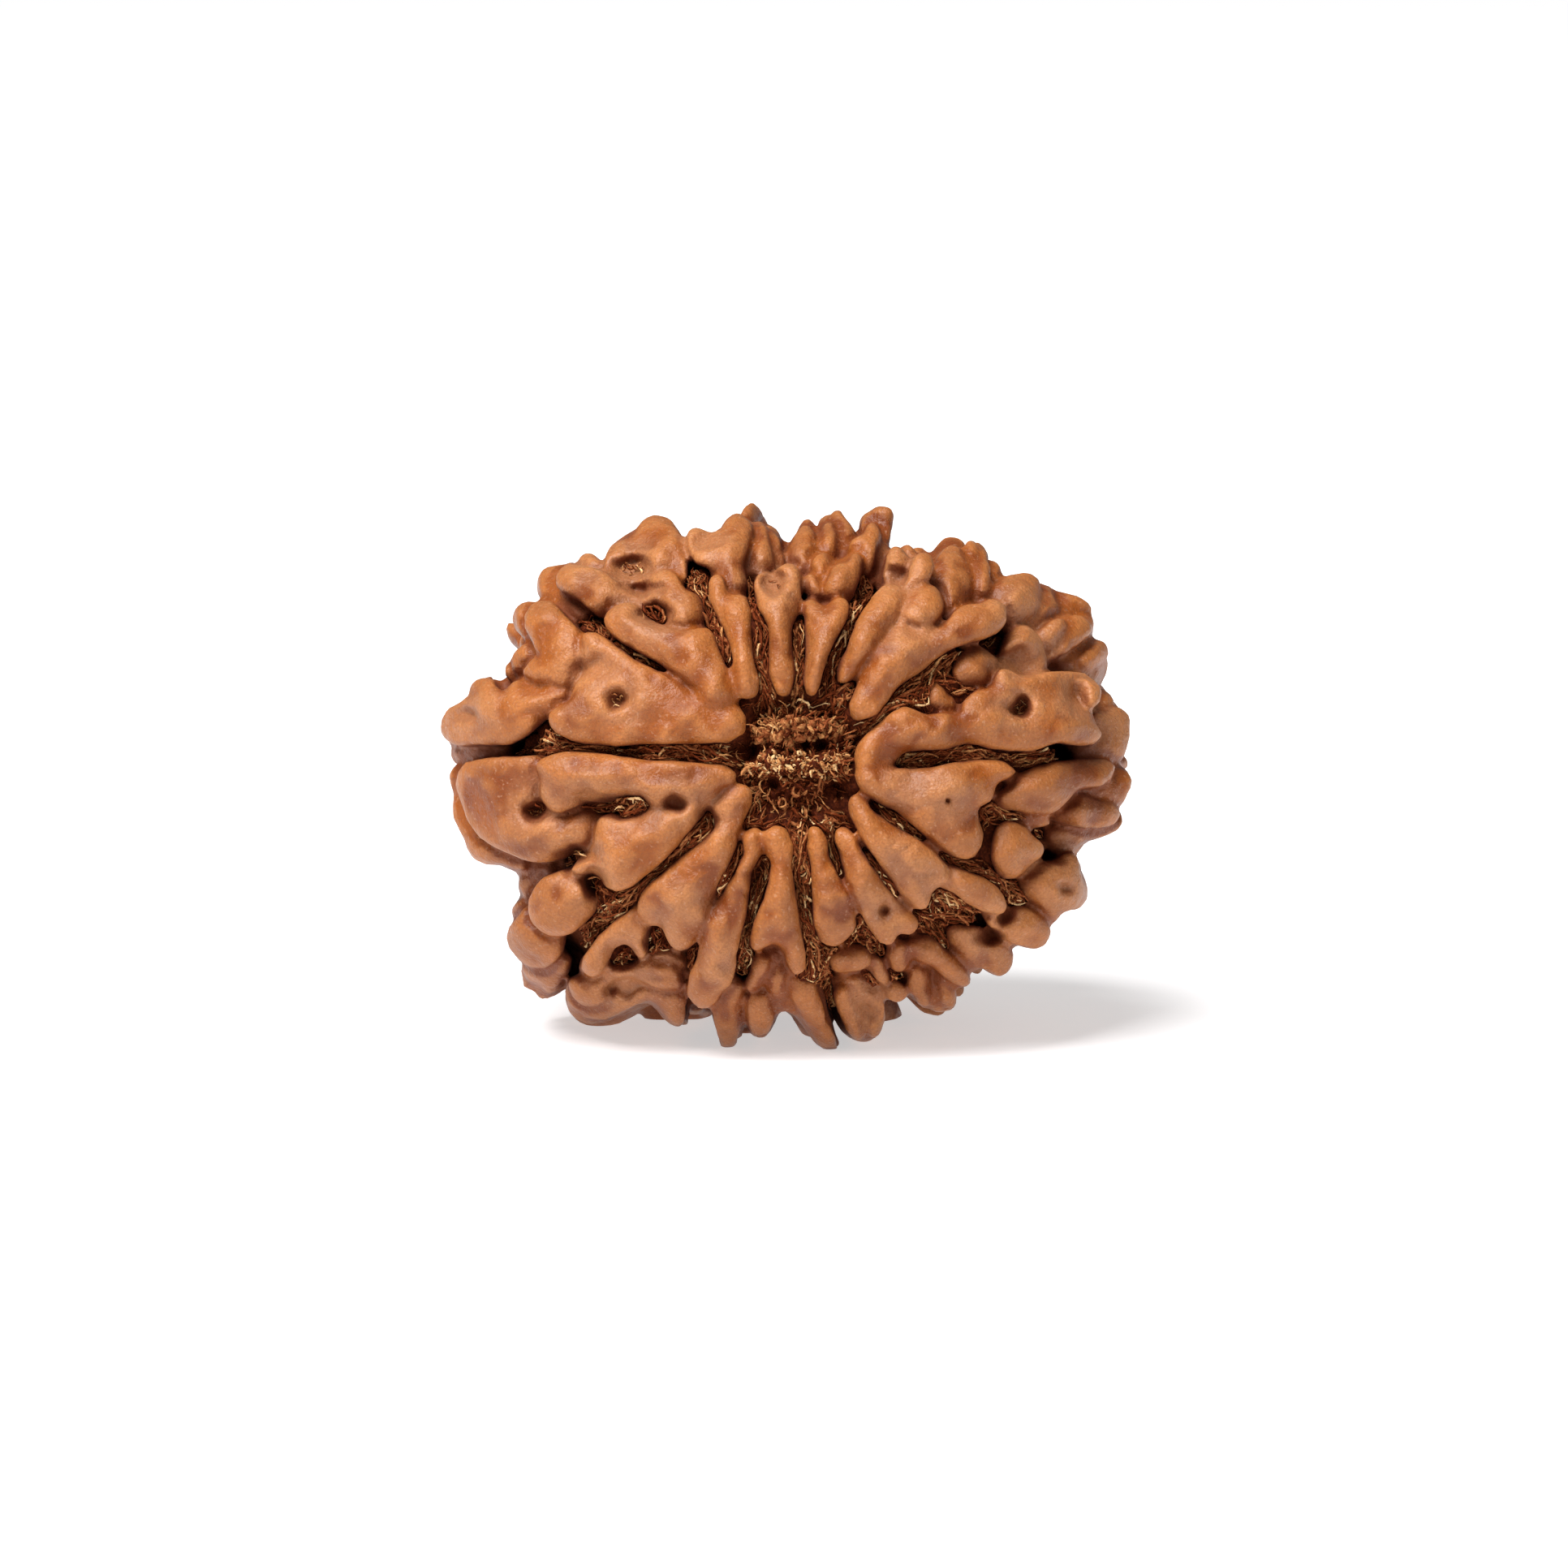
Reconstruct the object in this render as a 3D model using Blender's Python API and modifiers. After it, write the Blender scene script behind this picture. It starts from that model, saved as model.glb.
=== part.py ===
"""Rudraksha seed: the dried stone of the fruit, standing on its rim with one pole to the front.

Lobes are drawn in millimetres on the plane across the polar axis, x to the right and z up as seen
from the front pole. They are laid on a rounded crown surface, fused with a smaller core, and the
whole is tilted back a little and cut flat where it rests.
"""
import math
import random

import bmesh
import bpy
from mathutils import Matrix, Vector, noise

# Driving sizes in millimetres
CROWN = (17.7, 13.2, 14.3)        # half sizes of the surface that the highest lobes reach
CROWN_POWER = 2.3
LEAST_SHARE = 0.02                # past the crown's rim the surface stays at this share's level
POLE = (0.5, 0.9)                 # middle of the poles, x and z
POLE_SINK = 0.8                   # how much the crown dips towards a pole
POLE_SINK_REACH = 3.4
CORE = (13.4, 8.9, 10.3)          # half sizes of the woody body below the lobes
CORE_POWER = 2.7
CORE_LUMPS = 0.3                  # rise of the core's uneven surface
LOBE_DEPTH = 5.0                  # how deep a lobe reaches from its face towards the equator
RIM_REACH = 0.84                  # lobes that reach out beyond this share of the crown go back
RIM_BACK = (-1.8, 1.0)            # to this distance from the equator, some past it
EDGE_ROUND = 0.95                 # radius that a lobe's edges are rounded by
THINNEST = 2.4                    # least distance between a lobe's face and its back
PIT_RADIUS = (3.3, 3.6, 3.2)
PIT_LEVEL = 9.6                   # distance of the pit's middle from the equator
BACK_SCALE = (0.907, 0.955)       # the back's lobes are a little smaller than the front's,
BACK_TURN_DEG = 1.5               # each is turned about the axis by up to this much
BACK_SWAY_DEG = 2.5               # and their sides sway
BACK_SWELL = 0.035
BELT_SCALE = (0.912, 0.95)        # knobs round the equator, between the front's and the back's
BELT_TURN_DEG = 2.0
BELT_DEPTH = 3.4
BELT_SHIFT = 0.8                  # how far a knob's middle is off the equator
BEND = 1.5                        # how far the hidden half's straight walls are bent about
BEND_SPACING = 5.0
KNOB_RISE = 0.9                   # height of the low knobs along the sides and the back
KNOB_SPACING = 2.6
SIDE_START = -2.0                 # the bends and knobs begin here, behind the front lobes' faces,
SIDE_FULL = 2.5                   # and are at their full size from here
DENT = 0.3                        # unevenness of the front lobes' faces
DENT_SPACING = 3.0
REST_KNOBS = ((-5.4, 5.5, -10.5), (4.2, 5.5, -11.6))      # low knobs behind that it rests on
REST_RADIUS = (1.6, 2.2, 1.6)
TILT_DEG = 8.0                    # the front pole points up by this much
FLOOR = 12.45                     # distance from the axis down to where the seed is cut flat
MIDDLE = (0.075, 0.46)            # middle of the tilted seed's outline on the floor
SEED = 11

# Dried fibre in the poles' pits
FIBRE_RADIUS = (2.9, 1.9, 2.8)
FIBRE_LEVEL = 9.5                 # distance of the clump's middle from the equator
FIBRE_CRESTS = ((1.5, 0.5, 0.75), (-0.1, 0.6, 0.75))     # height on the clump, width and rise
FIBRE_LUMPS = 0.6

# Fineness of the solid
CELL = 0.8                        # spacing of a lobe's points
VOXEL = 0.25
SMOOTH_ROUNDS = 2
STONE_TRIANGLES = 11000
LEAST_HOLLOW = 0.25               # hollows narrower than this are too fine for the solid
SHARP_DEG = 70.0                  # edges sharper than this are shaded as edges
GROUND = 60.0                     # size of the block that cuts the resting flats
MM = 0.001

STONE_COLOUR = (0.46, 0.21, 0.095, 1.0)
FIBRE_COLOUR = (0.26, 0.12, 0.05, 1.0)

# Lobes of the front half, in sectors clockwise from the top. Each is how far its face lies below
# the crown surface, then its outline.
LOBES = (
    # rib just right of the top
    (0.0, ((1.05, 4.1), (1.0, 6.0), (0.95, 7.8), (0.85, 8.4), (1.15, 8.8), (1.9, 8.35), (2.5, 8.85),
           (3.0, 8.4), (2.8, 7.7), (2.2, 6.6), (1.7, 5.3), (1.35, 4.2))),
    (0.8, ((1.9, 9.1), (2.1, 10.0), (2.3, 10.5), (3.0, 10.8), (3.45, 11.1), (3.65, 10.4), (3.4, 9.6),
           (3.0, 8.7), (2.3, 8.5))),
    (1.2, ((0.95, 9.2), (1.1, 10.1), (1.6, 9.6), (1.9, 9.0), (1.5, 8.6))),
    (1.6, ((1.3, 10.3), (1.6, 11.15), (2.1, 10.85), (2.3, 10.1), (1.9, 9.3), (1.5, 9.5))),
    (3.0, ((0.0, 10.8), (0.5, 12.1), (1.05, 12.65), (1.35, 12.0), (1.5, 11.2), (1.0, 9.8), (0.3, 9.8))),
    (3.4, ((1.55, 11.0), (1.6, 12.0), (2.05, 12.75), (2.4, 12.4), (2.4, 11.2), (2.2, 9.9), (1.6, 9.9))),
    (4.0, ((2.35, 12.7), (2.45, 13.15), (2.85, 12.7), (3.4, 11.7), (3.2, 10.4), (2.6, 9.9),
           (2.3, 11.0))),
    # tall finger behind the second rib
    (3.3, ((3.7, 12.1), (3.8, 12.7), (4.3, 13.2), (5.0, 13.55), (5.35, 13.1), (5.1, 12.2),
           (4.85, 11.0), (4.6, 9.6), (3.7, 9.6), (3.4, 10.8))),
    (2.5, ((3.0, 11.1), (3.2, 11.6), (3.8, 12.0), (4.2, 12.6), (4.6, 12.3), (4.3, 11.2), (4.0, 10.0),
           (3.2, 10.0))),
    (0.2, ((2.5, 4.7), (2.9, 6.2), (3.4, 7.6), (4.1, 8.7), (4.9, 9.5), (5.7, 9.3), (5.95, 10.2),
           (6.5, 10.95), (6.95, 10.7), (6.9, 9.8), (6.2, 9.1), (5.4, 7.9), (4.4, 6.5), (3.5, 5.3))),
    (1.1, ((4.7, 9.4), (4.85, 10.6), (5.3, 11.35), (5.75, 11.0), (5.95, 10.2), (5.6, 8.8),
           (4.9, 8.6))),
    (4.2, ((5.65, 11.2), (5.95, 11.65), (6.25, 11.15), (6.55, 10.9), (6.4, 9.6), (5.7, 9.6))),
    # forked bar at one o'clock
    (0.0, ((3.15, 3.05), (3.4, 4.5), (4.1, 5.9), (5.0, 7.05), (5.5, 7.7), (5.9, 8.8), (6.7, 9.4),
           (7.4, 8.9), (7.5, 8.0), (7.0, 7.35), (8.0, 7.9), (8.4, 8.35), (9.4, 8.55), (10.0, 8.75),
           (10.65, 8.2), (10.2, 7.2), (9.0, 6.8), (7.7, 6.3), (6.6, 5.4), (5.3, 4.5), (4.4, 3.3),
           (3.8, 3.0))),
    (1.9, ((7.0, 9.9), (7.5, 11.0), (8.0, 11.45), (8.6, 11.35), (8.9, 10.2), (8.95, 8.7), (8.0, 7.6),
           (7.2, 8.6))),
    (2.5, ((8.7, 11.3), (9.0, 11.8), (9.4, 12.0), (9.85, 11.4), (9.85, 10.2), (9.8, 8.6), (8.8, 8.0),
           (8.7, 10.0))),
    (3.1, ((9.9, 11.0), (10.35, 10.9), (10.55, 10.3), (10.2, 8.6), (9.3, 8.0), (9.6, 9.6))),
    (2.3, ((9.8, 9.0), (10.5, 9.8), (11.4, 10.05), (12.4, 9.8), (12.2, 8.2), (10.8, 7.4),
           (9.6, 7.4))),
    (2.7, ((12.3, 9.7), (12.9, 9.75), (13.4, 9.45), (13.2, 7.9), (11.8, 7.2), (11.9, 8.6))),
    (3.1, ((13.2, 9.45), (14.0, 9.15), (14.7, 8.6), (14.8, 8.0), (13.6, 7.2), (12.0, 7.0),
           (12.6, 8.4))),
    # broad plate with an eye, at two o'clock
    (0.0, ((3.35, 0.7), (3.5, 1.7), (4.6, 2.8), (5.7, 3.55), (6.6, 3.1), (7.6, 3.2), (8.3, 3.1),
           (8.5, 3.7), (9.2, 4.3), (10.05, 4.55), (10.4, 5.4), (11.4, 5.05), (12.6, 5.2), (14.0, 5.3),
           (15.0, 4.95), (15.4, 4.4), (14.8, 3.5), (15.1, 2.7), (15.5, 2.25), (14.4, 1.75),
           (13.2, 1.9), (12.0, 1.5), (9.8, 1.6), (8.7, 1.85), (7.6, 1.5), (5.6, 1.4), (4.7, 0.5))),
    (1.1, ((8.0, 5.3), (8.4, 6.1), (9.1, 6.5), (9.8, 6.2), (10.3, 5.5), (10.0, 4.4), (9.0, 4.3),
           (8.2, 4.7))),
    (1.3, ((10.3, 6.0), (10.7, 7.0), (11.7, 7.6), (12.3, 7.2), (12.6, 6.3), (12.6, 5.2), (11.0, 4.8),
           (10.2, 5.2))),
    (2.1, ((12.2, 7.2), (13.0, 7.85), (14.2, 8.05), (15.0, 7.75), (14.4, 6.9), (13.1, 6.0),
           (12.3, 5.6))),
    (3.2, ((13.2, 6.1), (14.2, 6.7), (15.0, 7.0), (15.7, 6.5), (15.5, 5.6), (14.8, 4.8), (13.2, 4.8))),
    (3.6, ((14.6, 4.9), (15.5, 4.7), (16.15, 4.0), (15.9, 3.3), (14.6, 3.2))),
    (2.9, ((14.6, 3.3), (15.6, 3.45), (16.4, 3.4), (17.0, 2.6), (16.95, 1.6), (16.4, 0.8), (15.0, 0.9),
           (13.8, 1.6), (13.8, 2.6))),
    (1.2, ((6.9, 3.2), (6.9, 4.5), (7.15, 4.9), (7.7, 4.2), (8.4, 3.5), (8.2, 2.9))),
    # broad smooth plate at three o'clock
    (0.0, ((3.35, 0.3), (3.6, 0.85), (4.8, 0.55), (7.0, 0.6), (9.6, 0.95), (11.1, 0.45), (10.1, -0.1),
           (9.9, -0.9), (9.2, -1.3), (9.45, -2.6), (9.0, -3.65), (8.2, -3.7), (6.9, -2.8), (5.4, -1.5),
           (3.8, -0.6))),
    (0.8, ((10.1, -1.1), (10.9, -0.1), (12.0, 0.6), (14.0, 0.95), (15.2, 1.0), (16.0, 0.7),
           (15.3, -0.2), (14.1, -0.4), (13.4, -1.2), (12.2, -1.65), (11.0, -1.4))),
    (2.6, ((14.6, 0.6), (16.2, 0.75), (17.1, 0.0), (16.7, -0.6), (16.2, -1.2), (14.8, -1.2),
           (13.8, -0.3))),
    (2.2, ((12.8, -1.6), (14.0, -0.7), (15.0, -0.9), (16.1, -1.4), (16.0, -2.0), (14.8, -2.25),
           (13.4, -2.0))),
    (3.4, ((13.0, -1.8), (14.6, -1.8), (16.2, -1.4), (16.5, -2.1), (15.8, -2.6), (14.7, -3.0),
           (14.0, -3.5), (12.8, -3.3))),
    (0.7, ((10.0, -2.9), (10.3, -2.15), (11.1, -2.05), (12.0, -2.8), (12.6, -3.4), (11.9, -4.1),
           (11.2, -4.75), (10.2, -4.5))),
    (1.4, ((11.0, -1.7), (12.6, -1.6), (12.9, -1.9), (12.4, -2.2), (11.0, -2.2))),
    (1.5, ((11.3, -4.9), (12.0, -4.2), (13.2, -4.0), (14.1, -3.55), (14.4, -4.6), (14.6, -5.2),
           (14.3, -6.2), (13.3, -6.4), (12.9, -7.0), (12.2, -6.2), (11.4, -5.5))),
    # forked bars at four o'clock
    (0.0, ((3.0, -1.2), (3.4, -0.65), (4.0, -1.4), (5.2, -2.25), (6.5, -3.0), (7.7, -4.1), (7.8, -4.9),
           (7.0, -5.3), (6.8, -6.15), (6.2, -6.15), (5.3, -5.1), (4.3, -3.7), (3.4, -2.3))),
    (0.3, ((7.5, -4.1), (8.5, -4.35), (9.7, -4.85), (10.5, -5.6), (10.6, -6.3), (10.0, -6.4),
           (9.0, -6.05), (8.1, -5.4), (7.4, -5.0))),
    (1.2, ((9.5, -5.9), (10.2, -6.5), (11.2, -6.1), (12.3, -6.6), (12.8, -7.3), (12.5, -8.0),
           (11.6, -8.05), (10.5, -7.6), (9.8, -7.0))),
    (1.8, ((7.8, -7.2), (8.6, -7.0), (9.8, -7.3), (10.7, -7.9), (10.75, -8.9), (10.2, -9.4),
           (9.5, -9.0), (8.9, -9.2), (8.2, -8.4))),
    (3.4, ((10.0, -7.2), (10.6, -7.6), (10.95, -8.1), (10.6, -8.4), (9.8, -8.2))),
    (1.6, ((6.0, -7.7), (6.8, -7.5), (7.7, -8.3), (8.7, -9.2), (8.85, -9.9), (8.3, -10.0), (7.2, -9.1),
           (6.1, -8.5))),
    # ribs at five o'clock
    (0.2, ((2.4, -2.4), (2.9, -2.3), (3.6, -3.5), (4.6, -4.9), (5.6, -6.1), (6.35, -6.9), (5.9, -7.35),
           (5.4, -7.3), (4.9, -7.9), (4.1, -7.2), (3.5, -6.1), (2.9, -4.7), (2.6, -3.5))),
    (1.8, ((5.1, -7.8), (5.9, -7.9), (6.0, -9.0), (5.6, -9.35), (5.15, -9.1))),
    (2.6, ((5.8, -8.1), (6.4, -8.2), (7.0, -8.8), (8.0, -9.8), (8.2, -10.5), (7.8, -11.1), (6.8, -10.9),
           (5.9, -10.1))),
    (2.2, ((3.7, -8.2), (4.4, -8.7), (5.1, -9.6), (5.8, -10.3), (5.6, -10.75), (5.0, -10.6),
           (4.3, -9.8), (3.6, -9.1))),
    (0.2, ((1.05, -2.4), (1.6, -2.3), (2.0, -3.7), (2.8, -5.3), (3.35, -6.9), (3.1, -7.4), (2.4, -8.0),
           (1.7, -7.8), (1.3, -6.0), (1.2, -4.0))),
    (1.6, ((2.0, -8.2), (3.0, -8.0), (3.9, -8.2), (4.0, -9.0), (3.0, -9.3), (2.3, -9.35))),
    (2.2, ((2.3, -9.2), (3.3, -9.2), (4.3, -9.9), (4.75, -11.1), (4.6, -12.2), (4.0, -12.75),
           (3.3, -12.6), (2.7, -11.7), (2.4, -10.5))),
    # ribs at six o'clock, with the two legs that it stands on
    (0.0, ((-1.05, -2.5), (0.0, -2.4), (0.2, -4.0), (0.45, -6.0), (0.7, -7.7), (0.85, -9.1),
           (0.4, -9.4), (0.0, -8.3), (-0.6, -7.7), (-1.5, -8.2), (-1.7, -7.6), (-1.1, -5.8),
           (-0.7, -4.0))),
    (1.2, ((-1.4, -8.3), (-0.8, -8.6), (-1.0, -9.4), (-1.6, -10.3), (-1.95, -10.0), (-1.7, -9.3))),
    (1.5, ((-1.2, -7.9), (0.0, -8.0), (0.6, -9.4), (1.4, -9.6), (1.9, -11.0), (2.35, -12.5),
           (2.5, -13.4), (1.8, -13.2), (1.0, -12.2), (0.0, -11.2), (-0.6, -11.5), (-1.1, -12.5),
           (-1.7, -12.3), (-1.9, -11.2), (-1.5, -9.8))),
    (0.2, ((-1.1, -2.6), (-2.0, -2.5), (-2.0, -3.6), (-3.0, -5.3), (-3.8, -6.9), (-4.3, -8.7),
           (-4.75, -10.0), (-4.4, -10.9), (-3.8, -11.0), (-3.2, -10.2), (-2.6, -9.6), (-2.5, -8.4),
           (-1.9, -6.2), (-1.75, -4.4))),
    (1.5, ((-3.7, -9.8), (-2.3, -9.6), (-2.1, -11.0), (-2.45, -12.6), (-2.9, -13.45), (-3.3, -12.6),
           (-3.5, -11.4))),
    # branched bar at seven o'clock
    (0.2, ((-1.65, -0.4), (-2.3, -0.2), (-3.2, -0.6), (-3.7, -1.4), (-3.4, -2.3), (-4.4, -3.2),
           (-5.8, -4.4), (-6.9, -5.4), (-7.2, -6.4), (-6.7, -7.0), (-6.1, -6.9), (-5.8, -7.6),
           (-5.2, -8.25), (-4.4, -7.7), (-3.9, -6.6), (-3.55, -5.6), (-2.6, -3.5), (-2.1, -1.8))),
    (0.4, ((-6.4, -5.6), (-7.6, -6.4), (-8.6, -7.1), (-9.5, -8.2), (-9.95, -9.1), (-9.4, -9.5),
           (-8.8, -9.0), (-8.4, -8.1), (-7.7, -7.95), (-7.1, -8.65), (-6.8, -8.0), (-6.6, -6.8))),
    (2.1, ((-9.4, -9.2), (-8.6, -8.0), (-6.4, -7.6), (-5.0, -7.8), (-4.8, -9.4), (-5.0, -11.0),
           (-5.2, -12.0), (-5.9, -11.6), (-6.7, -10.8), (-8.0, -11.4), (-9.8, -11.7), (-10.8, -11.1),
           (-10.6, -9.8))),
    # double bar at nine o'clock, with its broad plate at the rim
    (0.0, ((-2.4, 0.3), (-4.0, 0.75), (-7.0, 0.95), (-9.4, 1.3), (-11.6, 1.05), (-12.0, 0.6),
           (-11.8, -0.1), (-11.9, -1.0), (-11.0, -1.5), (-9.6, -1.0), (-7.4, -1.2), (-5.4, -1.8),
           (-4.2, -1.4), (-3.2, -0.4))),
    (0.0, ((-3.9, -0.8), (-6.4, -1.3), (-9.0, -1.8), (-9.3, -3.2), (-10.4, -4.4), (-9.4, -4.5),
           (-8.8, -5.1), (-8.1, -5.35), (-7.0, -4.7), (-5.8, -3.7), (-4.7, -2.4))),
    (1.0, ((-11.0, 0.9), (-13.0, 1.1), (-15.0, 0.95), (-16.0, 0.5), (-16.0, -0.9), (-15.4, -2.2),
           (-14.2, -3.3), (-12.6, -3.8), (-11.2, -3.85), (-10.0, -3.4), (-8.8, -3.0), (-8.8, -1.4),
           (-10.4, -0.6))),
    (2.7, ((-15.2, 0.85), (-16.5, 0.6), (-16.7, 0.1), (-16.4, -0.7), (-16.45, -1.7), (-15.7, -2.8),
           (-15.3, -3.75), (-14.0, -4.1), (-12.9, -4.4), (-12.6, -3.0), (-14.0, -1.0))),
    (3.6, ((-12.9, -3.6), (-13.1, -4.8), (-13.0, -5.5), (-12.2, -6.3), (-10.6, -5.6), (-10.6, -3.6))),
    (3.9, ((-12.6, -5.7), (-13.3, -6.1), (-13.35, -6.8), (-12.4, -7.0), (-11.6, -6.2))),
    (0.9, ((-9.7, -4.2), (-11.2, -4.5), (-12.1, -5.2), (-12.4, -6.2), (-11.9, -7.3), (-10.9, -7.5),
           (-9.8, -6.9), (-9.1, -6.0), (-8.8, -5.2), (-9.2, -4.4))),
    (2.0, ((-12.2, -6.0), (-13.1, -6.7), (-13.6, -7.6), (-13.3, -8.6), (-12.4, -9.15), (-11.3, -8.8),
           (-10.8, -7.8), (-11.0, -6.8))),
    (3.0, ((-12.9, -8.6), (-12.6, -9.85), (-12.1, -10.0), (-11.75, -10.4), (-11.0, -9.7),
           (-10.4, -8.6), (-11.6, -7.8))),
    # plate with a curl, at ten o'clock
    (0.0, ((-2.1, 2.3), (-2.4, 3.7), (-3.6, 3.4), (-4.6, 4.2), (-5.8, 5.1), (-7.4, 5.8), (-8.6, 6.7),
           (-9.8, 7.1), (-9.7, 5.2), (-10.3, 4.6), (-10.4, 3.9), (-11.45, 3.1), (-10.9, 2.3),
           (-9.6, 1.8), (-7.0, 1.8), (-4.0, 1.85))),
    (0.5, ((-8.6, 6.4), (-10.0, 7.2), (-11.0, 8.2), (-11.7, 8.75), (-12.5, 8.5), (-12.6, 7.4),
           (-12.0, 6.1), (-12.9, 5.3), (-11.6, 4.8), (-10.0, 4.4), (-8.6, 4.6))),
    (0.9, ((-10.0, 5.0), (-10.2, 3.9), (-11.6, 3.2), (-12.4, 2.4), (-13.4, 1.8), (-15.0, 1.8),
           (-16.6, 1.9), (-17.1, 2.5), (-16.6, 3.5), (-15.6, 4.05), (-15.4, 4.7), (-14.5, 5.0),
           (-13.85, 4.2), (-13.3, 4.85), (-12.0, 4.9))),
    (2.8, ((-12.0, 8.4), (-13.1, 8.65), (-13.35, 8.0), (-12.7, 6.9), (-11.8, 6.4), (-11.4, 7.6))),
    (2.4, ((-12.0, 6.6), (-12.8, 6.6), (-13.4, 6.0), (-13.2, 5.1), (-11.8, 4.6), (-11.4, 5.8))),
    (3.4, ((-12.8, 5.8), (-13.7, 5.65), (-13.8, 5.3), (-13.2, 4.8), (-12.2, 4.8))),
    (3.0, ((-16.6, 2.1), (-16.8, 1.5), (-16.2, 1.0), (-15.2, 0.95), (-14.0, 1.0), (-13.2, 2.0),
           (-15.0, 2.6))),
    # ribs at eleven o'clock, with the broad summit
    (0.0, ((-2.35, 4.0), (-2.8, 5.1), (-3.4, 6.5), (-3.8, 7.35), (-5.0, 7.2), (-6.2, 7.5), (-7.0, 8.2),
           (-7.7, 8.6), (-8.7, 8.1), (-8.6, 7.3), (-7.2, 6.3), (-5.6, 5.4), (-4.4, 4.4), (-3.5, 3.3))),
    (0.9, ((-4.0, 8.1), (-4.3, 8.9), (-4.9, 9.15), (-5.6, 10.2), (-6.6, 9.9), (-6.6, 8.8),
           (-6.0, 7.9), (-6.0, 7.0), (-4.4, 7.0))),
    (1.3, ((-5.2, 9.1), (-4.85, 10.6), (-5.2, 12.0), (-5.8, 12.8), (-6.6, 12.9), (-7.3, 12.2),
           (-8.2, 11.7), (-8.85, 11.1), (-8.5, 9.7), (-7.6, 9.3), (-6.4, 8.6))),
    (1.0, ((-5.8, 8.4), (-6.8, 8.9), (-8.2, 9.6), (-9.2, 10.3), (-10.2, 10.5), (-10.8, 10.7),
           (-11.35, 10.1), (-11.0, 9.3), (-10.0, 8.8), (-9.2, 8.1), (-8.0, 8.0), (-6.4, 7.6))),
    (2.7, ((-10.8, 10.6), (-11.7, 10.6), (-12.3, 10.2), (-12.0, 9.1), (-11.3, 8.2), (-10.2, 7.6),
           (-9.4, 8.4), (-10.0, 9.6))),
    (3.0, ((-9.0, 10.6), (-9.8, 11.1), (-10.2, 10.8), (-9.9, 9.6), (-8.9, 9.2), (-8.2, 10.0))),
    # two ribs left of the top
    (0.0, ((-1.45, 4.1), (-1.65, 5.8), (-1.75, 7.2), (-2.0, 8.9), (-2.9, 9.1), (-3.2, 9.9),
           (-3.7, 9.6), (-3.5, 8.4), (-2.9, 7.1), (-2.5, 5.7), (-2.35, 4.1))),
    (0.9, ((-2.1, 8.6), (-2.15, 10.5), (-1.9, 11.6), (-1.7, 12.4), (-2.1, 13.0), (-2.45, 13.25),
           (-2.9, 12.8), (-3.3, 12.1), (-3.9, 12.0), (-4.5, 12.25), (-4.75, 11.7), (-4.4, 10.6),
           (-3.6, 10.3), (-3.7, 8.8))),
    (0.0, ((0.15, 4.2), (0.2, 6.6), (0.2, 7.6), (0.6, 8.4), (0.6, 9.6), (0.4, 10.5), (-0.2, 10.4),
           (-0.7, 9.95), (-1.3, 9.95), (-1.5, 9.3), (-1.3, 8.3), (-0.85, 7.6), (-0.8, 6.2),
           (-0.4, 4.2))),
    (2.0, ((-0.95, 9.6), (-0.95, 12.0), (-1.35, 12.75), (-1.8, 12.2), (-1.95, 11.2), (-1.6, 9.6))),
    (2.6, ((-0.3, 10.0), (-0.35, 11.5), (-0.7, 12.3), (-1.1, 12.1), (-1.2, 10.0))),
)

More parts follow.
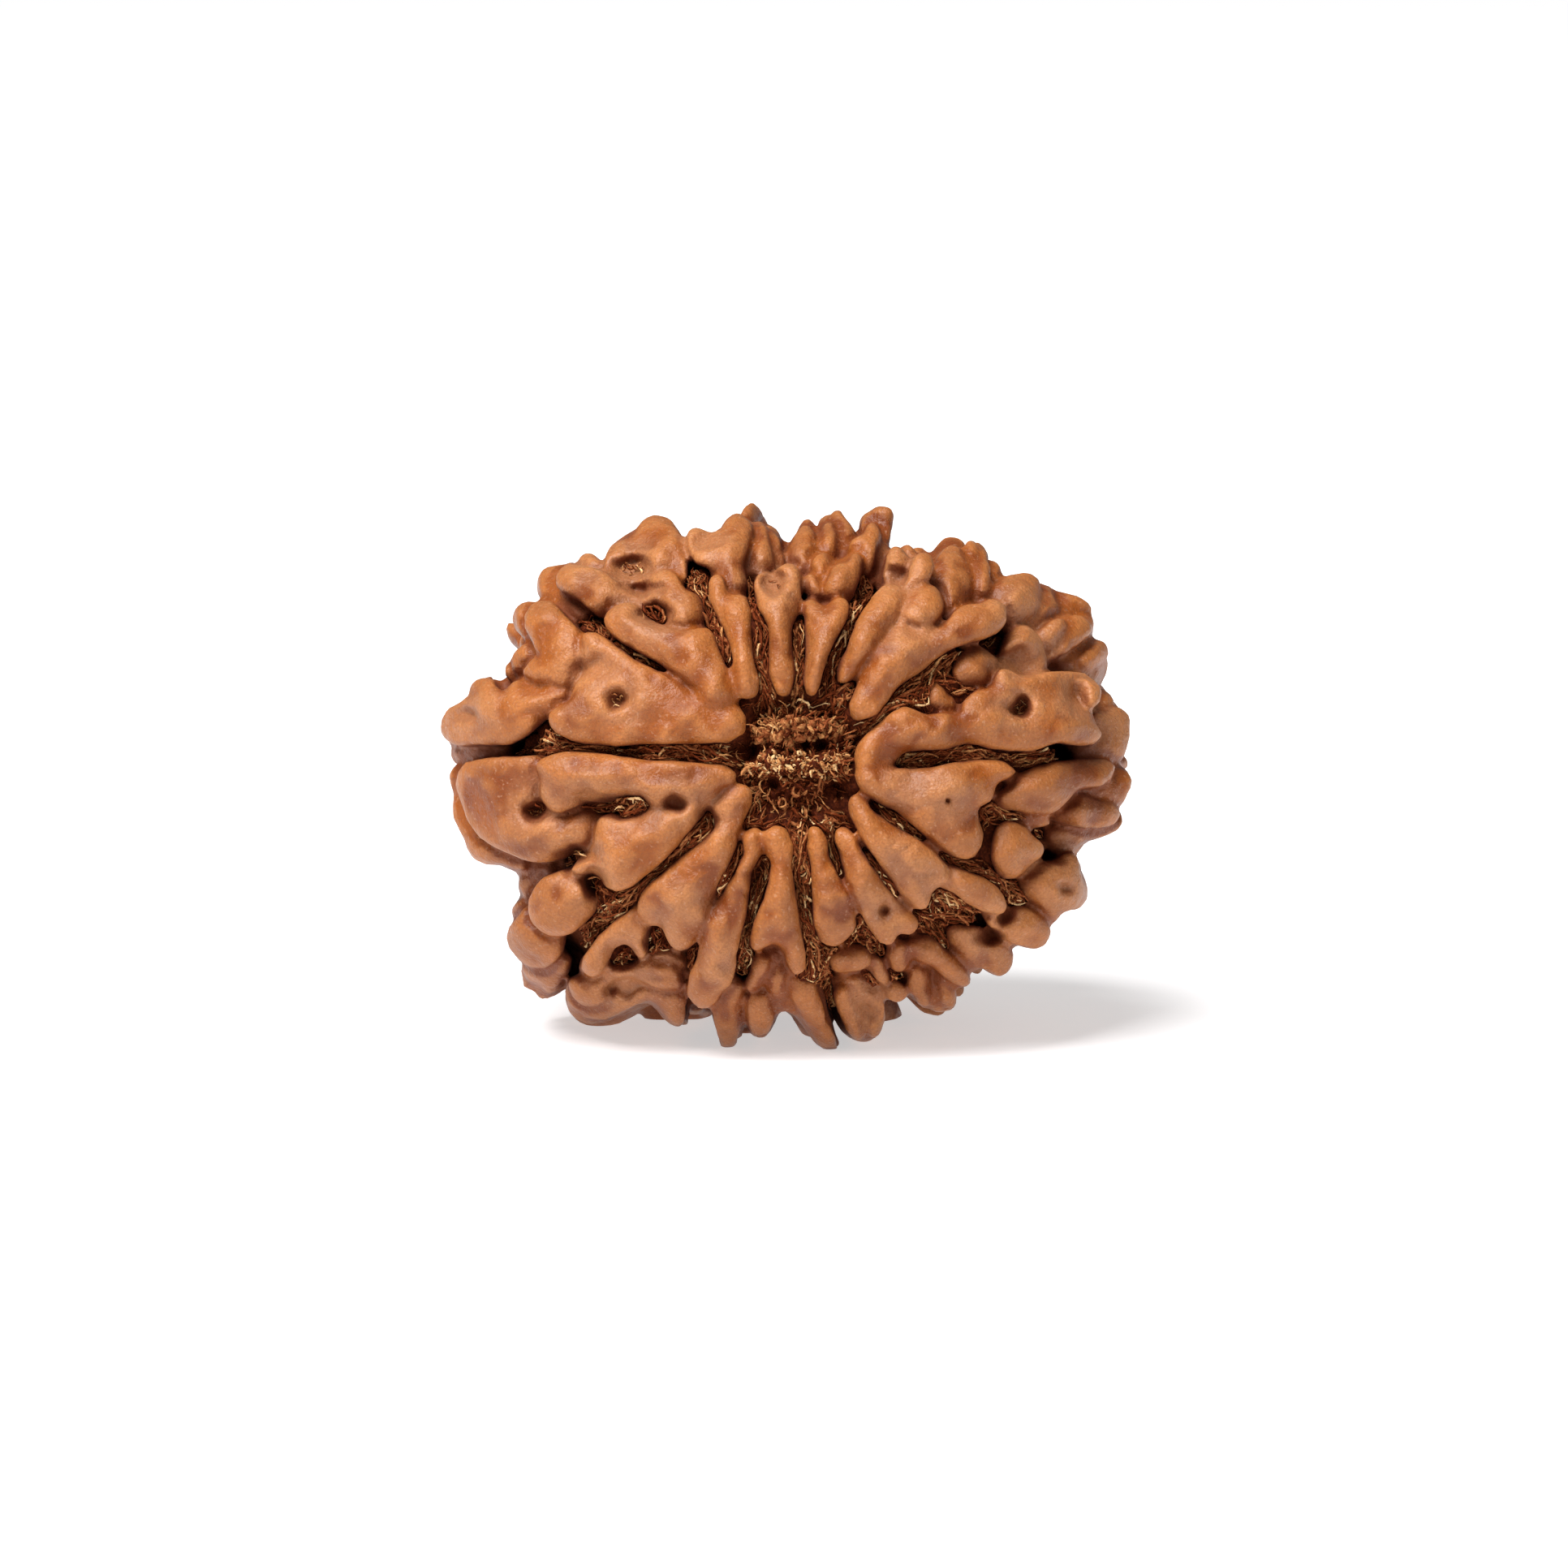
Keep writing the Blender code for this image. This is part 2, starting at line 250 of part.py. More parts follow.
# Hollows in the lobes: x, z, half width, half height, depth and how far the face there lies
# below the crown surface
HOLLOWS = (
    (-0.62, 9.5, 0.50, 0.52, 1.7, 0.0),      # round cup left of the top
    (-4.1, 11.65, 0.40, 0.38, 0.7, 0.9),     # small cup on the next rib
    (-7.5, 10.35, 0.85, 0.50, 2.0, 1.2),     # recess under the summit
    (-7.1, 9.35, 0.90, 0.28, 1.2, 1.0),
    (-6.5, 8.0, 0.62, 0.42, 1.8, 0.5),       # fibre cup under the pale web
    (-9.75, 10.55, 0.16, 0.16, 0.8, 3.0),
    (-8.2, 3.85, 0.45, 0.50, 1.3, 0.0),      # curl of the ten o'clock plate
    (-9.3, 5.5, 0.75, 0.45, 0.7, 0.3),
    (-15.4, 3.2, 0.42, 0.28, 1.3, 0.9),
    (-7.9, -1.25, 1.15, 0.45, 2.0, 0.0),     # slots of the double bar
    (-9.4, -0.85, 0.60, 0.28, 1.0, 0.0),
    (-5.35, -1.15, 0.45, 0.32, 1.3, 0.0),
    (-12.2, -1.5, 0.55, 0.42, 1.7, 0.9),
    (-10.1, -3.6, 0.80, 0.45, 1.8, 0.8),
    (-9.3, -5.0, 0.50, 0.50, 2.0, 0.6),
    (-3.75, -1.9, 0.42, 0.42, 1.2, 0.2),
    (-6.4, -7.6, 0.40, 0.55, 2.0, 0.3),
    (-7.9, -8.6, 0.75, 0.55, 1.6, 1.9),
    (-7.9, -10.1, 0.85, 0.35, 1.0, 2.1),
    (-4.85, -5.95, 0.14, 0.14, 0.6, 0.2),
    (-2.95, -8.95, 0.26, 0.16, 0.7, 0.2),
    (4.75, -6.2, 0.30, 0.28, 1.0, 0.2),      # pinholes and cups of the lower right
    (5.35, -3.8, 0.20, 0.18, 0.7, 0.0),
    (6.8, -4.5, 0.75, 0.20, 1.0, 0.0),
    (7.3, -5.9, 0.35, 0.60, 1.5, 0.0),
    (4.2, -10.9, 0.36, 0.80, 1.0, 2.2),
    (9.9, -7.5, 0.60, 0.35, 1.2, 1.6),
    (13.6, -5.3, 0.32, 0.28, 1.1, 1.5),
    (10.7, -6.6, 0.30, 0.30, 0.8, 1.0),
    (13.0, -3.85, 0.80, 0.26, 0.9, 1.8),
    (5.65, -0.4, 0.15, 0.13, 0.5, 0.0),
    (6.5, -0.5, 0.17, 0.13, 0.5, 0.0),
    (7.75, -0.95, 0.26, 0.24, 0.9, 0.0),
    (11.35, 3.5, 0.52, 0.50, 2.0, 0.0),      # eye of the two o'clock plate
    (14.2, 4.15, 0.50, 0.62, 1.0, 0.0),
    (16.0, 2.65, 0.14, 0.12, 0.5, 2.9),
    (11.3, 5.9, 0.75, 0.55, 0.9, 1.3),
    (11.2, 8.3, 0.50, 0.20, 0.6, 2.3),
    (6.1, 7.35, 0.42, 0.34, 0.6, 0.0),
    (5.4, 9.95, 0.38, 0.42, 0.8, 1.1),
    (12.6, 6.5, 0.22, 0.30, 0.8, 1.4),
)


def crown_level(x, z):
    """Distance from the equator's plane to the crown surface over a point of the drawing."""
    left = 1.0 - abs(x / CROWN[0]) ** CROWN_POWER - abs(z / CROWN[2]) ** CROWN_POWER
    near = math.hypot(x - POLE[0], z - POLE[1]) / POLE_SINK_REACH
    level = CROWN[1] * max(left, LEAST_SHARE) ** (1.0 / CROWN_POWER)
    return level - POLE_SINK * math.exp(-near * near)


def edge_distance(point, outline):
    """Distance in the drawing from a point to the nearest side of an outline."""
    nearest = math.inf
    for start, end in zip(outline, outline[1:] + outline[:1]):
        side = end - start
        along = max(0.0, min(1.0, (point - start).dot(side) / max(side.length_squared, 1e-9)))
        nearest = min(nearest, (start + side * along - point).length)
    return nearest


def rounding(distance):
    """How much the face falls away at this distance from the outline."""
    inner = 1.0 - min(distance / EDGE_ROUND, 1.0)
    return EDGE_ROUND * (1.0 - math.sqrt(1.0 - inner * inner))


def outline_mesh(outline):
    """A flat plate, one unit thick, with a smooth closed outline and a grid of points."""
    curve = bpy.data.curves.new("outline", "CURVE")
    curve.dimensions = "2D"
    curve.fill_mode = "BOTH"
    curve.extrude = 0.5
    curve.resolution_u = 2
    spline = curve.splines.new("BEZIER")
    spline.bezier_points.add(len(outline) - 1)
    for point, (x, z) in zip(spline.bezier_points, outline):
        point.co = (x, z, 0.0)
        point.handle_left_type = "AUTO"
        point.handle_right_type = "AUTO"
    spline.use_cyclic_u = True
    plate = bpy.data.objects.new("outline", curve)
    bpy.context.scene.collection.objects.link(plate)
    shapes = bpy.context.evaluated_depsgraph_get()
    flat = bpy.data.meshes.new_from_object(plate.evaluated_get(shapes))
    mesh = bmesh.new()
    mesh.from_mesh(flat)
    bpy.data.objects.remove(plate)
    bpy.data.curves.remove(curve)
    bpy.data.meshes.remove(flat)
    bmesh.ops.remove_doubles(mesh, verts=mesh.verts, dist=0.0001)
    return mesh


def cut_into_cells(mesh, cell):
    """Add points along a square grid, so that the face can be bent."""
    for axis in (0, 1):
        places = [v.co[axis] for v in mesh.verts]
        normal = Vector((1.0 - axis, axis, 0.0))
        for step in range(math.ceil(min(places) / cell), math.floor(max(places) / cell) + 1):
            bmesh.ops.bisect_plane(mesh, geom=mesh.verts[:] + mesh.edges[:] + mesh.faces[:],
                                   plane_co=normal * (step * cell), plane_no=normal, dist=0.00001)


def ordered_rim(mesh):
    """The outline's points in order, read from the edges of the front face's border."""
    border = {}
    for edge in mesh.edges:
        high = all(v.co.z > 0.0 for v in edge.verts)
        if high and any(abs(f.normal.z) < 0.5 for f in edge.link_faces):
            for a, b in (edge.verts, reversed(edge.verts)):
                border.setdefault(a, []).append(b)
    start = next(iter(border))
    rim = [start]
    while True:
        following = [v for v in border[rim[-1]] if v not in rim[-2:]]
        if not following or following[0] is start:
            break
        rim.append(following[0])
    return [v.co.xy.copy() for v in rim]


def lobe(outline, drop, back, level=None):
    """One lobe as a closed body: its rounded face to the front, its back to the equator.

    The face lies below the crown surface by the drop, or flat at a level of its own. The back is
    a distance in front of the equator's plane, or None for a lobe of the plain depth.
    """
    mesh = outline_mesh(outline)
    mesh.normal_update()
    rim = ordered_rim(mesh)
    cut_into_cells(mesh, CELL)
    for vert in mesh.verts:
        x, z = vert.co.x, vert.co.y
        fall = rounding(edge_distance(Vector((x, z)), rim))
        face = crown_level(x, z) - drop if level is None else level
        if back is None:
            behind = face - LOBE_DEPTH
        else:
            behind = back
            face = max(face, back + THINNEST)
        if vert.co.z > 0.0:
            vert.co = (x, fall - face, z)
        else:
            vert.co = (x, -behind - fall, z)
    return mesh


def add_body(target, body, mirrored=False):
    """Put a closed body into the growing mesh, turned to the back half if it is mirrored."""
    if mirrored:
        bmesh.ops.scale(body, vec=(1.0, -1.0, 1.0), verts=body.verts)
        bmesh.ops.reverse_faces(body, faces=body.faces)
    piece = bpy.data.meshes.new("body")
    body.to_mesh(piece)
    body.free()
    target.from_mesh(piece)
    bpy.data.meshes.remove(piece)


def back_outline(outline, rng):
    """The outline's like on the hidden half: the same sector, drawn a little otherwise."""
    turn = math.radians(rng.uniform(-BACK_TURN_DEG, BACK_TURN_DEG))
    stretch = rng.uniform(*BACK_SCALE)
    points = []
    for x, z in outline:
        angle = math.atan2(z, x)
        far = math.hypot(x, z)
        angle += turn + math.radians(BACK_SWAY_DEG) * math.sin(3.0 * angle + 0.7)
        far *= stretch * (1.0 + BACK_SWELL * math.sin(5.0 * angle + 2.0 + 0.3 * far))
        points.append((far * math.cos(angle), far * math.sin(angle)))
    return points


def belt_outline(outline, rng):
    """A rim lobe's like for the belt round the equator."""
    turn = math.radians(rng.uniform(-BELT_TURN_DEG, BELT_TURN_DEG))
    stretch = rng.uniform(*BELT_SCALE)
    points = []
    for x, z in outline:
        points.append((stretch * (x * math.cos(turn) - z * math.sin(turn)),
                       stretch * (x * math.sin(turn) + z * math.cos(turn))))
    return points


def core_body():
    """The woody body: a rounded box with a slightly uneven surface."""
    body = bmesh.new()
    bmesh.ops.create_uvsphere(body, u_segments=48, v_segments=32, radius=1.0)
    for vert in body.verts:
        way = vert.co.normalized()
        total = sum(abs(way[k] / CORE[k]) ** CORE_POWER for k in range(3))
        reach = total ** (-1.0 / CORE_POWER)
        vert.co = way * (reach + CORE_LUMPS * noise.noise(way * 4.0))
    return body


def egg(place, radii, subdivisions):
    """A ball stretched along the axes."""
    body = bmesh.new()
    bmesh.ops.create_icosphere(body, subdivisions=subdivisions, radius=1.0)
    bmesh.ops.scale(body, vec=radii, verts=body.verts)
    bmesh.ops.translate(body, vec=place, verts=body.verts)
    return body


def mesh_object(name, mesh, collection):
    """A new object that holds this mesh."""
    data = bpy.data.meshes.new(name)
    mesh.to_mesh(data)
    mesh.free()
    item = bpy.data.objects.new(name, data)
    collection.objects.link(item)
    return item


def apply_modifiers(item):
    """Replace an object's mesh by what its modifiers make of it."""
    shapes = bpy.context.evaluated_depsgraph_get()
    made = bpy.data.meshes.new_from_object(item.evaluated_get(shapes))
    old = item.data
    item.modifiers.clear()
    item.data = made
    bpy.data.meshes.remove(old)


def fuse(item):
    """Make one closed skin of bodies that run into each other."""
    skin = item.modifiers.new("skin", "REMESH")
    skin.mode = "VOXEL"
    skin.voxel_size = VOXEL
    apply_modifiers(item)


def cut_away(item, cutter):
    """Cut one object's shape out of another."""
    cutter.hide_render = True
    cutter.display_type = "WIRE"
    cut = item.modifiers.new("cut", "BOOLEAN")
    cut.object = cutter
    cut.operation = "DIFFERENCE"
    cut.solver = "MANIFOLD"
    apply_modifiers(item)


def material(name, colour, roughness):
    """A plain material of one colour."""
    stuff = bpy.data.materials.new(name)
    stuff.use_nodes = True
    shader = stuff.node_tree.nodes["Principled BSDF"]
    shader.inputs["Base Color"].default_value = colour
    shader.inputs["Roughness"].default_value = roughness
    shader.inputs["Metallic"].default_value = 0.0
    return stuff


def grow_stone(parts, cutters):
    """Fuse the core and all the lobes into one body and cut its hollows."""
    rng = random.Random(SEED)
    grown = bmesh.new()
    add_body(grown, core_body())
    for drop, outline in LOBES:
        at_rim = max(math.hypot(x / CROWN[0], z / CROWN[2]) for x, z in outline) > RIM_REACH
        back = rng.uniform(*RIM_BACK) if at_rim else None
        add_body(grown, lobe(outline, drop, back))
        back = rng.uniform(*RIM_BACK) if at_rim else None
        add_body(grown, lobe(back_outline(outline, rng), drop, back), mirrored=True)
        if at_rim:
            level = 0.5 * BELT_DEPTH + rng.uniform(-BELT_SHIFT, BELT_SHIFT)
            add_body(grown, lobe(belt_outline(outline, rng), 0.0, level - BELT_DEPTH, level))
    for place in REST_KNOBS:
        add_body(grown, egg(place, REST_RADIUS, 3))
    stone = mesh_object("seed_stone", grown, parts)
    fuse(stone)
    roughen(stone)

    eggs = bmesh.new()
    for x, z, wide, high, depth, drop in HOLLOWS:
        if min(wide, high) >= LEAST_HOLLOW:
            add_body(eggs, egg((x, drop - crown_level(x, z), z), (wide, depth, high), 2))
    cut_away(stone, mesh_object("hollows", eggs, cutters))
    pits = bmesh.new()
    for side in (-1, 1):
        add_body(pits, egg((POLE[0], side * PIT_LEVEL, POLE[1]), PIT_RADIUS, 3))
    cut_away(stone, mesh_object("pole_pits", pits, cutters))
    fuse(stone)

    soften = stone.modifiers.new("soften", "SMOOTH")
    soften.factor = 0.5
    soften.iterations = SMOOTH_ROUNDS
    apply_modifiers(stone)
    stone.data.calc_loop_triangles()
    thin = stone.modifiers.new("thin", "DECIMATE")
    thin.ratio = STONE_TRIANGLES / len(stone.data.loop_triangles)
    thin.use_collapse_triangulate = True
    apply_modifiers(stone)
    return stone


def roughen(item):
    """Bend the hidden half's straight walls, raise knobs along the sides and dent the faces."""
    for vert in item.data.vertices:
        place = vert.co.copy()
        side = (place.y - SIDE_START) / (SIDE_FULL - SIDE_START)
        side = min(max(side, 0.0), 1.0)
        outward = Vector((place.x, 0.0, place.z)).normalized()
        knob = noise.noise(place / KNOB_SPACING) * KNOB_RISE
        dent = noise.noise(place / DENT_SPACING) * DENT
        vert.co += noise.noise_vector(place / BEND_SPACING) * BEND * side
        vert.co += outward * knob * side
        vert.co += place.normalized() * dent * (1.0 - side)


def fibre_clump(name, side, parts):
    """The dried fibre in one pit: a dome with crests across it and a lumpy face."""
    body = bmesh.new()
    bmesh.ops.create_icosphere(body, subdivisions=4, radius=1.0)
    for vert in body.verts:
        way = vert.co.normalized()
        x, y, z = (FIBRE_RADIUS[k] * way[k] for k in range(3))
        rise = FIBRE_LUMPS * noise.noise(Vector((x, side * 3.0, z)) * 1.3)
        for height, width, crest in FIBRE_CRESTS:
            rise += crest * math.exp(-((z - height) / width) ** 2)
        y -= rise * max(-way.y, 0.0)
        vert.co = (POLE[0] + x, y - FIBRE_LEVEL, POLE[1] + z)
    if side > 0:
        bmesh.ops.scale(body, vec=(1.0, -1.0, 1.0), verts=body.verts)
        bmesh.ops.reverse_faces(body, faces=body.faces)
    return mesh_object(name, body, parts)


def main():
    for item in list(bpy.data.objects):
        bpy.data.objects.remove(item)
    noise.seed_set(SEED)
    parts = bpy.data.collections.new("rudraksha_seed")
    cutters = bpy.data.collections.new("cutters")
    for group in (parts, cutters):
        bpy.context.scene.collection.children.link(group)
    stone = grow_stone(parts, cutters)
    fibres = [fibre_clump("pole_fibre_front", -1, parts), fibre_clump("pole_fibre_back", 1, parts)]

    tilt = Matrix.Rotation(math.radians(-TILT_DEG), 4, "X")
    lift = Matrix.Translation((-MIDDLE[0], -MIDDLE[1], FLOOR))
    for item in (stone, *fibres):
        item.data.transform(lift @ tilt)
    ground = bmesh.new()
    bmesh.ops.create_cube(ground, size=GROUND)
    bmesh.ops.translate(ground, vec=(0.0, 0.0, -0.5 * GROUND), verts=ground.verts)
    cut_away(stone, mesh_object("ground", ground, cutters))
    for item in (stone, *fibres, *cutters.objects):
        item.data.transform(Matrix.Scale(MM, 4))

    stone.data.shade_smooth()
    stone.data.set_sharp_from_angle(angle=math.radians(SHARP_DEG))
    stone.data.materials.append(material("dried_woody_stone", STONE_COLOUR, 0.5))
    for clump in fibres:
        clump.data.materials.append(material("dried_fibre", FIBRE_COLOUR, 0.85))
        clump.data.shade_smooth()


main()
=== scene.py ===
"""The looks of the rudraksha seed: the woody stone in full detail, the dried fibre in its grooves
and at its poles, their finishes, and a pale studio.

The stone is grown from the same drawing as the solid that it replaces. The drawing is in
millimetres on the plane across the polar axis, x to the right and z up as seen from the front
pole, and everything stays in millimetres and untilted until set_down() puts it in its place.
"""
import math
import random

import bmesh
import bpy
import numpy as np
from mathutils import Matrix, Vector, noise
from mathutils.bvhtree import BVHTree


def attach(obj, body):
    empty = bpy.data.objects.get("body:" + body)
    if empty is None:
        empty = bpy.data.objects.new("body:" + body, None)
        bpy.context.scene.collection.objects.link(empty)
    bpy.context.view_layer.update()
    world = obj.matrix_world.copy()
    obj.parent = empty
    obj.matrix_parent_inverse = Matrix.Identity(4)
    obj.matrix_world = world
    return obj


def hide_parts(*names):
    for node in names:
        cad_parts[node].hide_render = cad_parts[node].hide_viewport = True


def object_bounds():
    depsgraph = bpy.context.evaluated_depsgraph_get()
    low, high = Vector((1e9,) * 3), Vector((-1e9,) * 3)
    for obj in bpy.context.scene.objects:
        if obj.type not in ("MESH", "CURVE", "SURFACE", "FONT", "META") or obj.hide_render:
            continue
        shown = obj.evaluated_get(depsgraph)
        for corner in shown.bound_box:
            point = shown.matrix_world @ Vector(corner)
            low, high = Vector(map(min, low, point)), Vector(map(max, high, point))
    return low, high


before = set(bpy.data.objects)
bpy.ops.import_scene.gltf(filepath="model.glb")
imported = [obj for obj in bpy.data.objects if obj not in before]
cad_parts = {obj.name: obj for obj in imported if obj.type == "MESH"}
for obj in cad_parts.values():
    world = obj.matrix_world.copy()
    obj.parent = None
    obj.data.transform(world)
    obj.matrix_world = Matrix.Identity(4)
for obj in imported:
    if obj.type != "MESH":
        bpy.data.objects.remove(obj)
solid_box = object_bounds()

# Driving sizes in millimetres, those of the solid
CROWN = (17.7, 13.2, 14.3)        # half sizes of the surface that the highest lobes reach
CROWN_POWER = 2.3
LEAST_SHARE = 0.02                # past the crown's rim the surface stays at this share's level
POLE = (0.5, 0.9)                 # middle of the poles, x and z
POLE_SINK = 0.8                   # how much the crown dips towards a pole
POLE_SINK_REACH = 3.4
CORE = (13.4, 8.9, 10.3)          # half sizes of the woody body below the lobes
CORE_POWER = 2.7
CORE_LUMPS = 0.3
CORE_LUMP_SPREAD = 4.0
CORE_SEGMENTS = (48, 32)
LOBE_DEPTH = 5.0                  # how deep a lobe's body goes away from the rim
RIM_REACH = 0.84                  # lobes that reach past this share of the crown are at the rim
RIM_BACK = (-1.8, 1.0)            # and their backs lie between these levels
THINNEST = 2.4                    # no lobe at the rim is thinner than this
PIT_RADIUS = (3.3, 3.6, 3.2)      # the pits at the poles
PIT_LEVEL = 9.6
BACK_SCALE = (0.907, 0.955)       # how the front's outlines are changed for the hidden half
BACK_TURN_DEG = 1.5
BACK_SWAY_DEG = 2.5
BACK_SWAY_WAVES = (3.0, 0.7)      # waves round the pole, and where they start
BACK_SWELL = 0.035
BACK_SWELL_WAVES = (5.0, 2.0, 0.3)  # the same, and how much they lean outward
BELT_SCALE = (0.912, 0.95)        # and the rim's for the belt of knobs round the equator
BELT_TURN_DEG = 2.0
BELT_DEPTH = 3.4                  # how thick the knobs are
BELT_SHIFT = 0.8                  # how far each is shifted along the axis
BEND = 1.5                        # how far the hidden half is bent
BEND_SPACING = 5.0
KNOB_RISE = 0.9                   # how far the sides bulge
KNOB_SPACING = 2.6
SIDE_START = -2.0                 # y where these begin, and where they are at their full
SIDE_FULL = 2.5
DENT = 0.3                        # how deep the front's faces are dented
DENT_SPACING = 3.0
REST_KNOBS = ((-5.4, 5.5, -10.5), (4.2, 5.5, -11.6))
REST_RADIUS = (1.6, 2.2, 1.6)
TILT_DEG = 8.0                    # how far the front pole is turned up
FLOOR = 12.45                     # how high the drawing's origin lies above the floor
MIDDLE = (0.075, 0.46)            # x and y, once tilted, of the place over the frame's origin
SEED = 11
MM = 0.001                        # a millimetre in metres
GROUND_BLOCK = 60.0               # size of the block that cuts the flats that it rests on

# Fineness and finer relief of the shown stone
CELL = 0.25                       # spacing of the grid along which the faces are bent
VOXEL = 0.14                      # how finely the lobes are fused
CURVE_STEPS = 2                   # places along an outline from one drawn point to the next
WELD = 0.0001                     # points of a plate nearer than this are one
ON_CUT = 0.00001                  # points this near to a cut lie on it
STEEP = 0.5                       # a face whose normal has less z than this is a plate's side
EGG_FINENESS = 3
PIT_FINENESS = 4
SMOOTH_ROUNDS = 1
SMOOTH_SHARE = 0.5
STONE_TRIANGLES = 195000
SHOWN_EDGE_ROUND = 0.32
SWELL = 0.06                      # how much fuller the shown stone is, which narrows its grooves
ROOF = 0.4                        # how far a narrow lobe's face falls from its middle line
DOME = 0.28                       # how far a lobe's face falls from its ridge to its rim
DOME_REACH = 2.5
DOME_CURVE = 1.7
DISH = 0.25                       # how far a broad face sinks inside its raised rim
DISH_REACH = (1.2, 2.8)
DIVE = 0.55                       # how deep a lobe dives beside one that lies well above it
DIVE_WIDTH = 1.2
DIVE_CURVE = 1.5
WELL_ABOVE = 0.8
CREVICE = 0.7                     # the narrow crevice along any lobe that lies above
CREVICE_WIDTH = 0.35
JUST_ABOVE = 0.3
LEAST_ABOVE = 0.1                 # lobes with less between them don't sink each other
LEAST_PLATE = 0.2                 # no face comes nearer to its lobe's back than this
FINGER_RISE = 0.32                # how far the small fingers stand off the lobe that bears them
BOWL_DEPTH = 0.75                 # share of a hollow's depth that its rounded mouth has
BOWL = 1.2                        # a hollow's rounded mouth is this much wider than its egg
PINHOLE = 0.25                    # narrower ones are cut straight in
FUNNEL = 0.35                     # how deep the soft funnel round a hollow is
FUNNEL_REACH = 0.7                # how far it reaches past the hollow
FUNNEL_FULL = 0.5                 # smaller hollows than this have smaller funnels
HOLLOW_STRAY = 0.28               # how far the hollows' outlines stray from an ellipse
HOLLOW_STRAY_SPACING = 0.8
FACES_APART = 9.0                 # keeps the noise of the front and of the back apart
RELIEF = 0.22                     # swells and saddles of the faces
RELIEF_SPACING = 1.9
RIBS = 0.25                       # ribs that run outward from the pole over the faces
RIB_TURNS = 5.0
RIB_LENGTH = 3.2
RIBS_APART = 7.0
CREASE = 0.36                     # ridges that run over the faces
CREASE_SPACING = 2.5
CREASE_SHARPNESS = 2.0
CREASE_MEAN = 0.35                # taken off, so that the faces keep their level
KNUCKLE = 0.16                    # swellings with tight folds between them
KNUCKLE_SPACING = 1.5
KNUCKLE_SHARPNESS = 4.0
KNUCKLE_MEAN = 0.3
SIDE_LUMPS = 0.24                 # unevenness of the sides round the equator
SIDE_LUMP_SPACING = 1.7
PEBBLE = 0.06                     # fine unevenness all over
PEBBLE_SPACING = 0.6
FACE_START = 2.0                  # the faces' relief begins this far from the equator's plane
FACE_FULL = 6.0

# How the stone's surface is read for its colours: sky hidden by near parts for its painted shade,
# ridges for their partly painted highlight, and nearness to a hollow for its pale bloom
SKY_RAYS = 26                     # directions looked along for open sky
SKY_REACH = 5.0                   # how far a neighbour can shelter a point
SKY_START = 0.05                  # how far above the surface the looking starts
SKY_LOWEST = 0.12                 # flatter directions aren't looked along
EVEN_ROUNDS = 2                   # rounds of evening out what is read
PROUD_ROUNDS = 12                 # rounds of evening out that ridges are measured against
PROUD_HEIGHT = 0.12               # how far a full ridge stands out of the evened surface
FROST_REACH = 1.1                 # how far past a hollow its pale bloom reaches

# Dried fibre: the mat in the grooves and the clumps at the poles, which the solid has too
MAT_DEPTH = 0.122                 # share of the crown's reach that the mat lies below it
MAT_RIM_DEPTH = 0.25              # and how much more at the equator
MAT_RIM_CURVE = 4.5
MAT_FINENESS = 7
MAT_TONE = -0.1
MAT_LUMPS = 0.9                   # how uneven the mat is
MAT_LUMP_SPACING = 2.2
MAT_SHREDS = 0.35                 # and how far shreds stand out of it
MAT_SHRED_SPREAD = (14.0, 0.8, 1.5)  # round the pole, along the axis and outward
MAT_POLE_SINK = 1.3
MAT_BELOW_LOBES = 0.34            # how much of a lobe's drop the mat beside it shares
MAT_NEIGHBOURS = 1.2              # how near those lobes are
MAT_NEIGHBOUR_GAIN = 1.5
MAT_BARE_SINK = 1.8               # how much lower it lies where no lobes stand round it
MAT_WALLED = 0.62                 # share of walls round a place from which it doesn't sink
MAT_BARE_RANGE = 0.3              # and how much less of them lets it sink in full
LOOK_ROUND = 10                   # ways along the surface that are looked along for walls
WALL_REACH = 3.2                  # how far away a wall may stand
FIBRE_RADIUS = (2.9, 1.9, 2.8)    # half sizes of a clump
FIBRE_LEVEL = 9.5
FIBRE_CRESTS = ((1.5, 0.42, 0.95), (-0.1, 0.5, 0.95))
FIBRE_LUMPS = 0.6
FIBRE_LUMP_SPREAD = 1.3
CLUMPS_APART = 3.0                # keeps the noise of the two clumps apart
CLUMP_FINENESS = 6
CLUMP_ROUGHNESS = 0.5             # of the dark body under a clump's shreds
CLUMP_ROUGH_SPREAD = 3.1
FIBRE_HOLES = ((-1.8, 1.45, 0.5), (2.35, -0.55, 0.5), (-1.1, -1.35, 0.3), (-0.65, -0.1, 0.28),
               (0.9, 1.8, 0.27), (1.6, 1.75, 0.3))   # dark gaps: x and z from the origin, radius
HOLE_DEPTH = 1.2                  # how deep they are sunk into the clump's body

# Strands of dried fibre
STRAND_SIDES = 4
STRAND_FLATNESS = 0.4
STRAND_STEPS = 7
STRAND_TAPER = (0.3, 0.7, 0.6)    # width of the ends, what the middle adds and how fast
STRAND_RAGGED = 0.8               # how unevenly wide a strand is along its length
STRAND_RAGGED_SPREAD = 3.5
STRAND_WALLED = 0.7               # a strand lies only where it has this share of walls round it
FAR_OUT = 40.0                    # outside of everything
GROOVE_STRANDS = 2900             # for the front half and for the back half
GROOVE_LENGTH = (0.5, 2.2)
GROOVE_THICKNESS = (0.028, 0.08)
GROOVE_TWIST = 2.0
GROOVE_SHALLOWEST = 1.0           # no strand comes nearer to the crown than this
GROOVE_LIFT = (0.0, 0.2)          # how high a strand lies above the mat
GROOVE_RISE = (0.0, 0.4)          # and how much higher its middle may arch
GROOVE_WAVE = (-0.08, 0.08)       # its unevenness up and down
GROOVE_STRAY = 0.35               # how far its heading strays, in radians
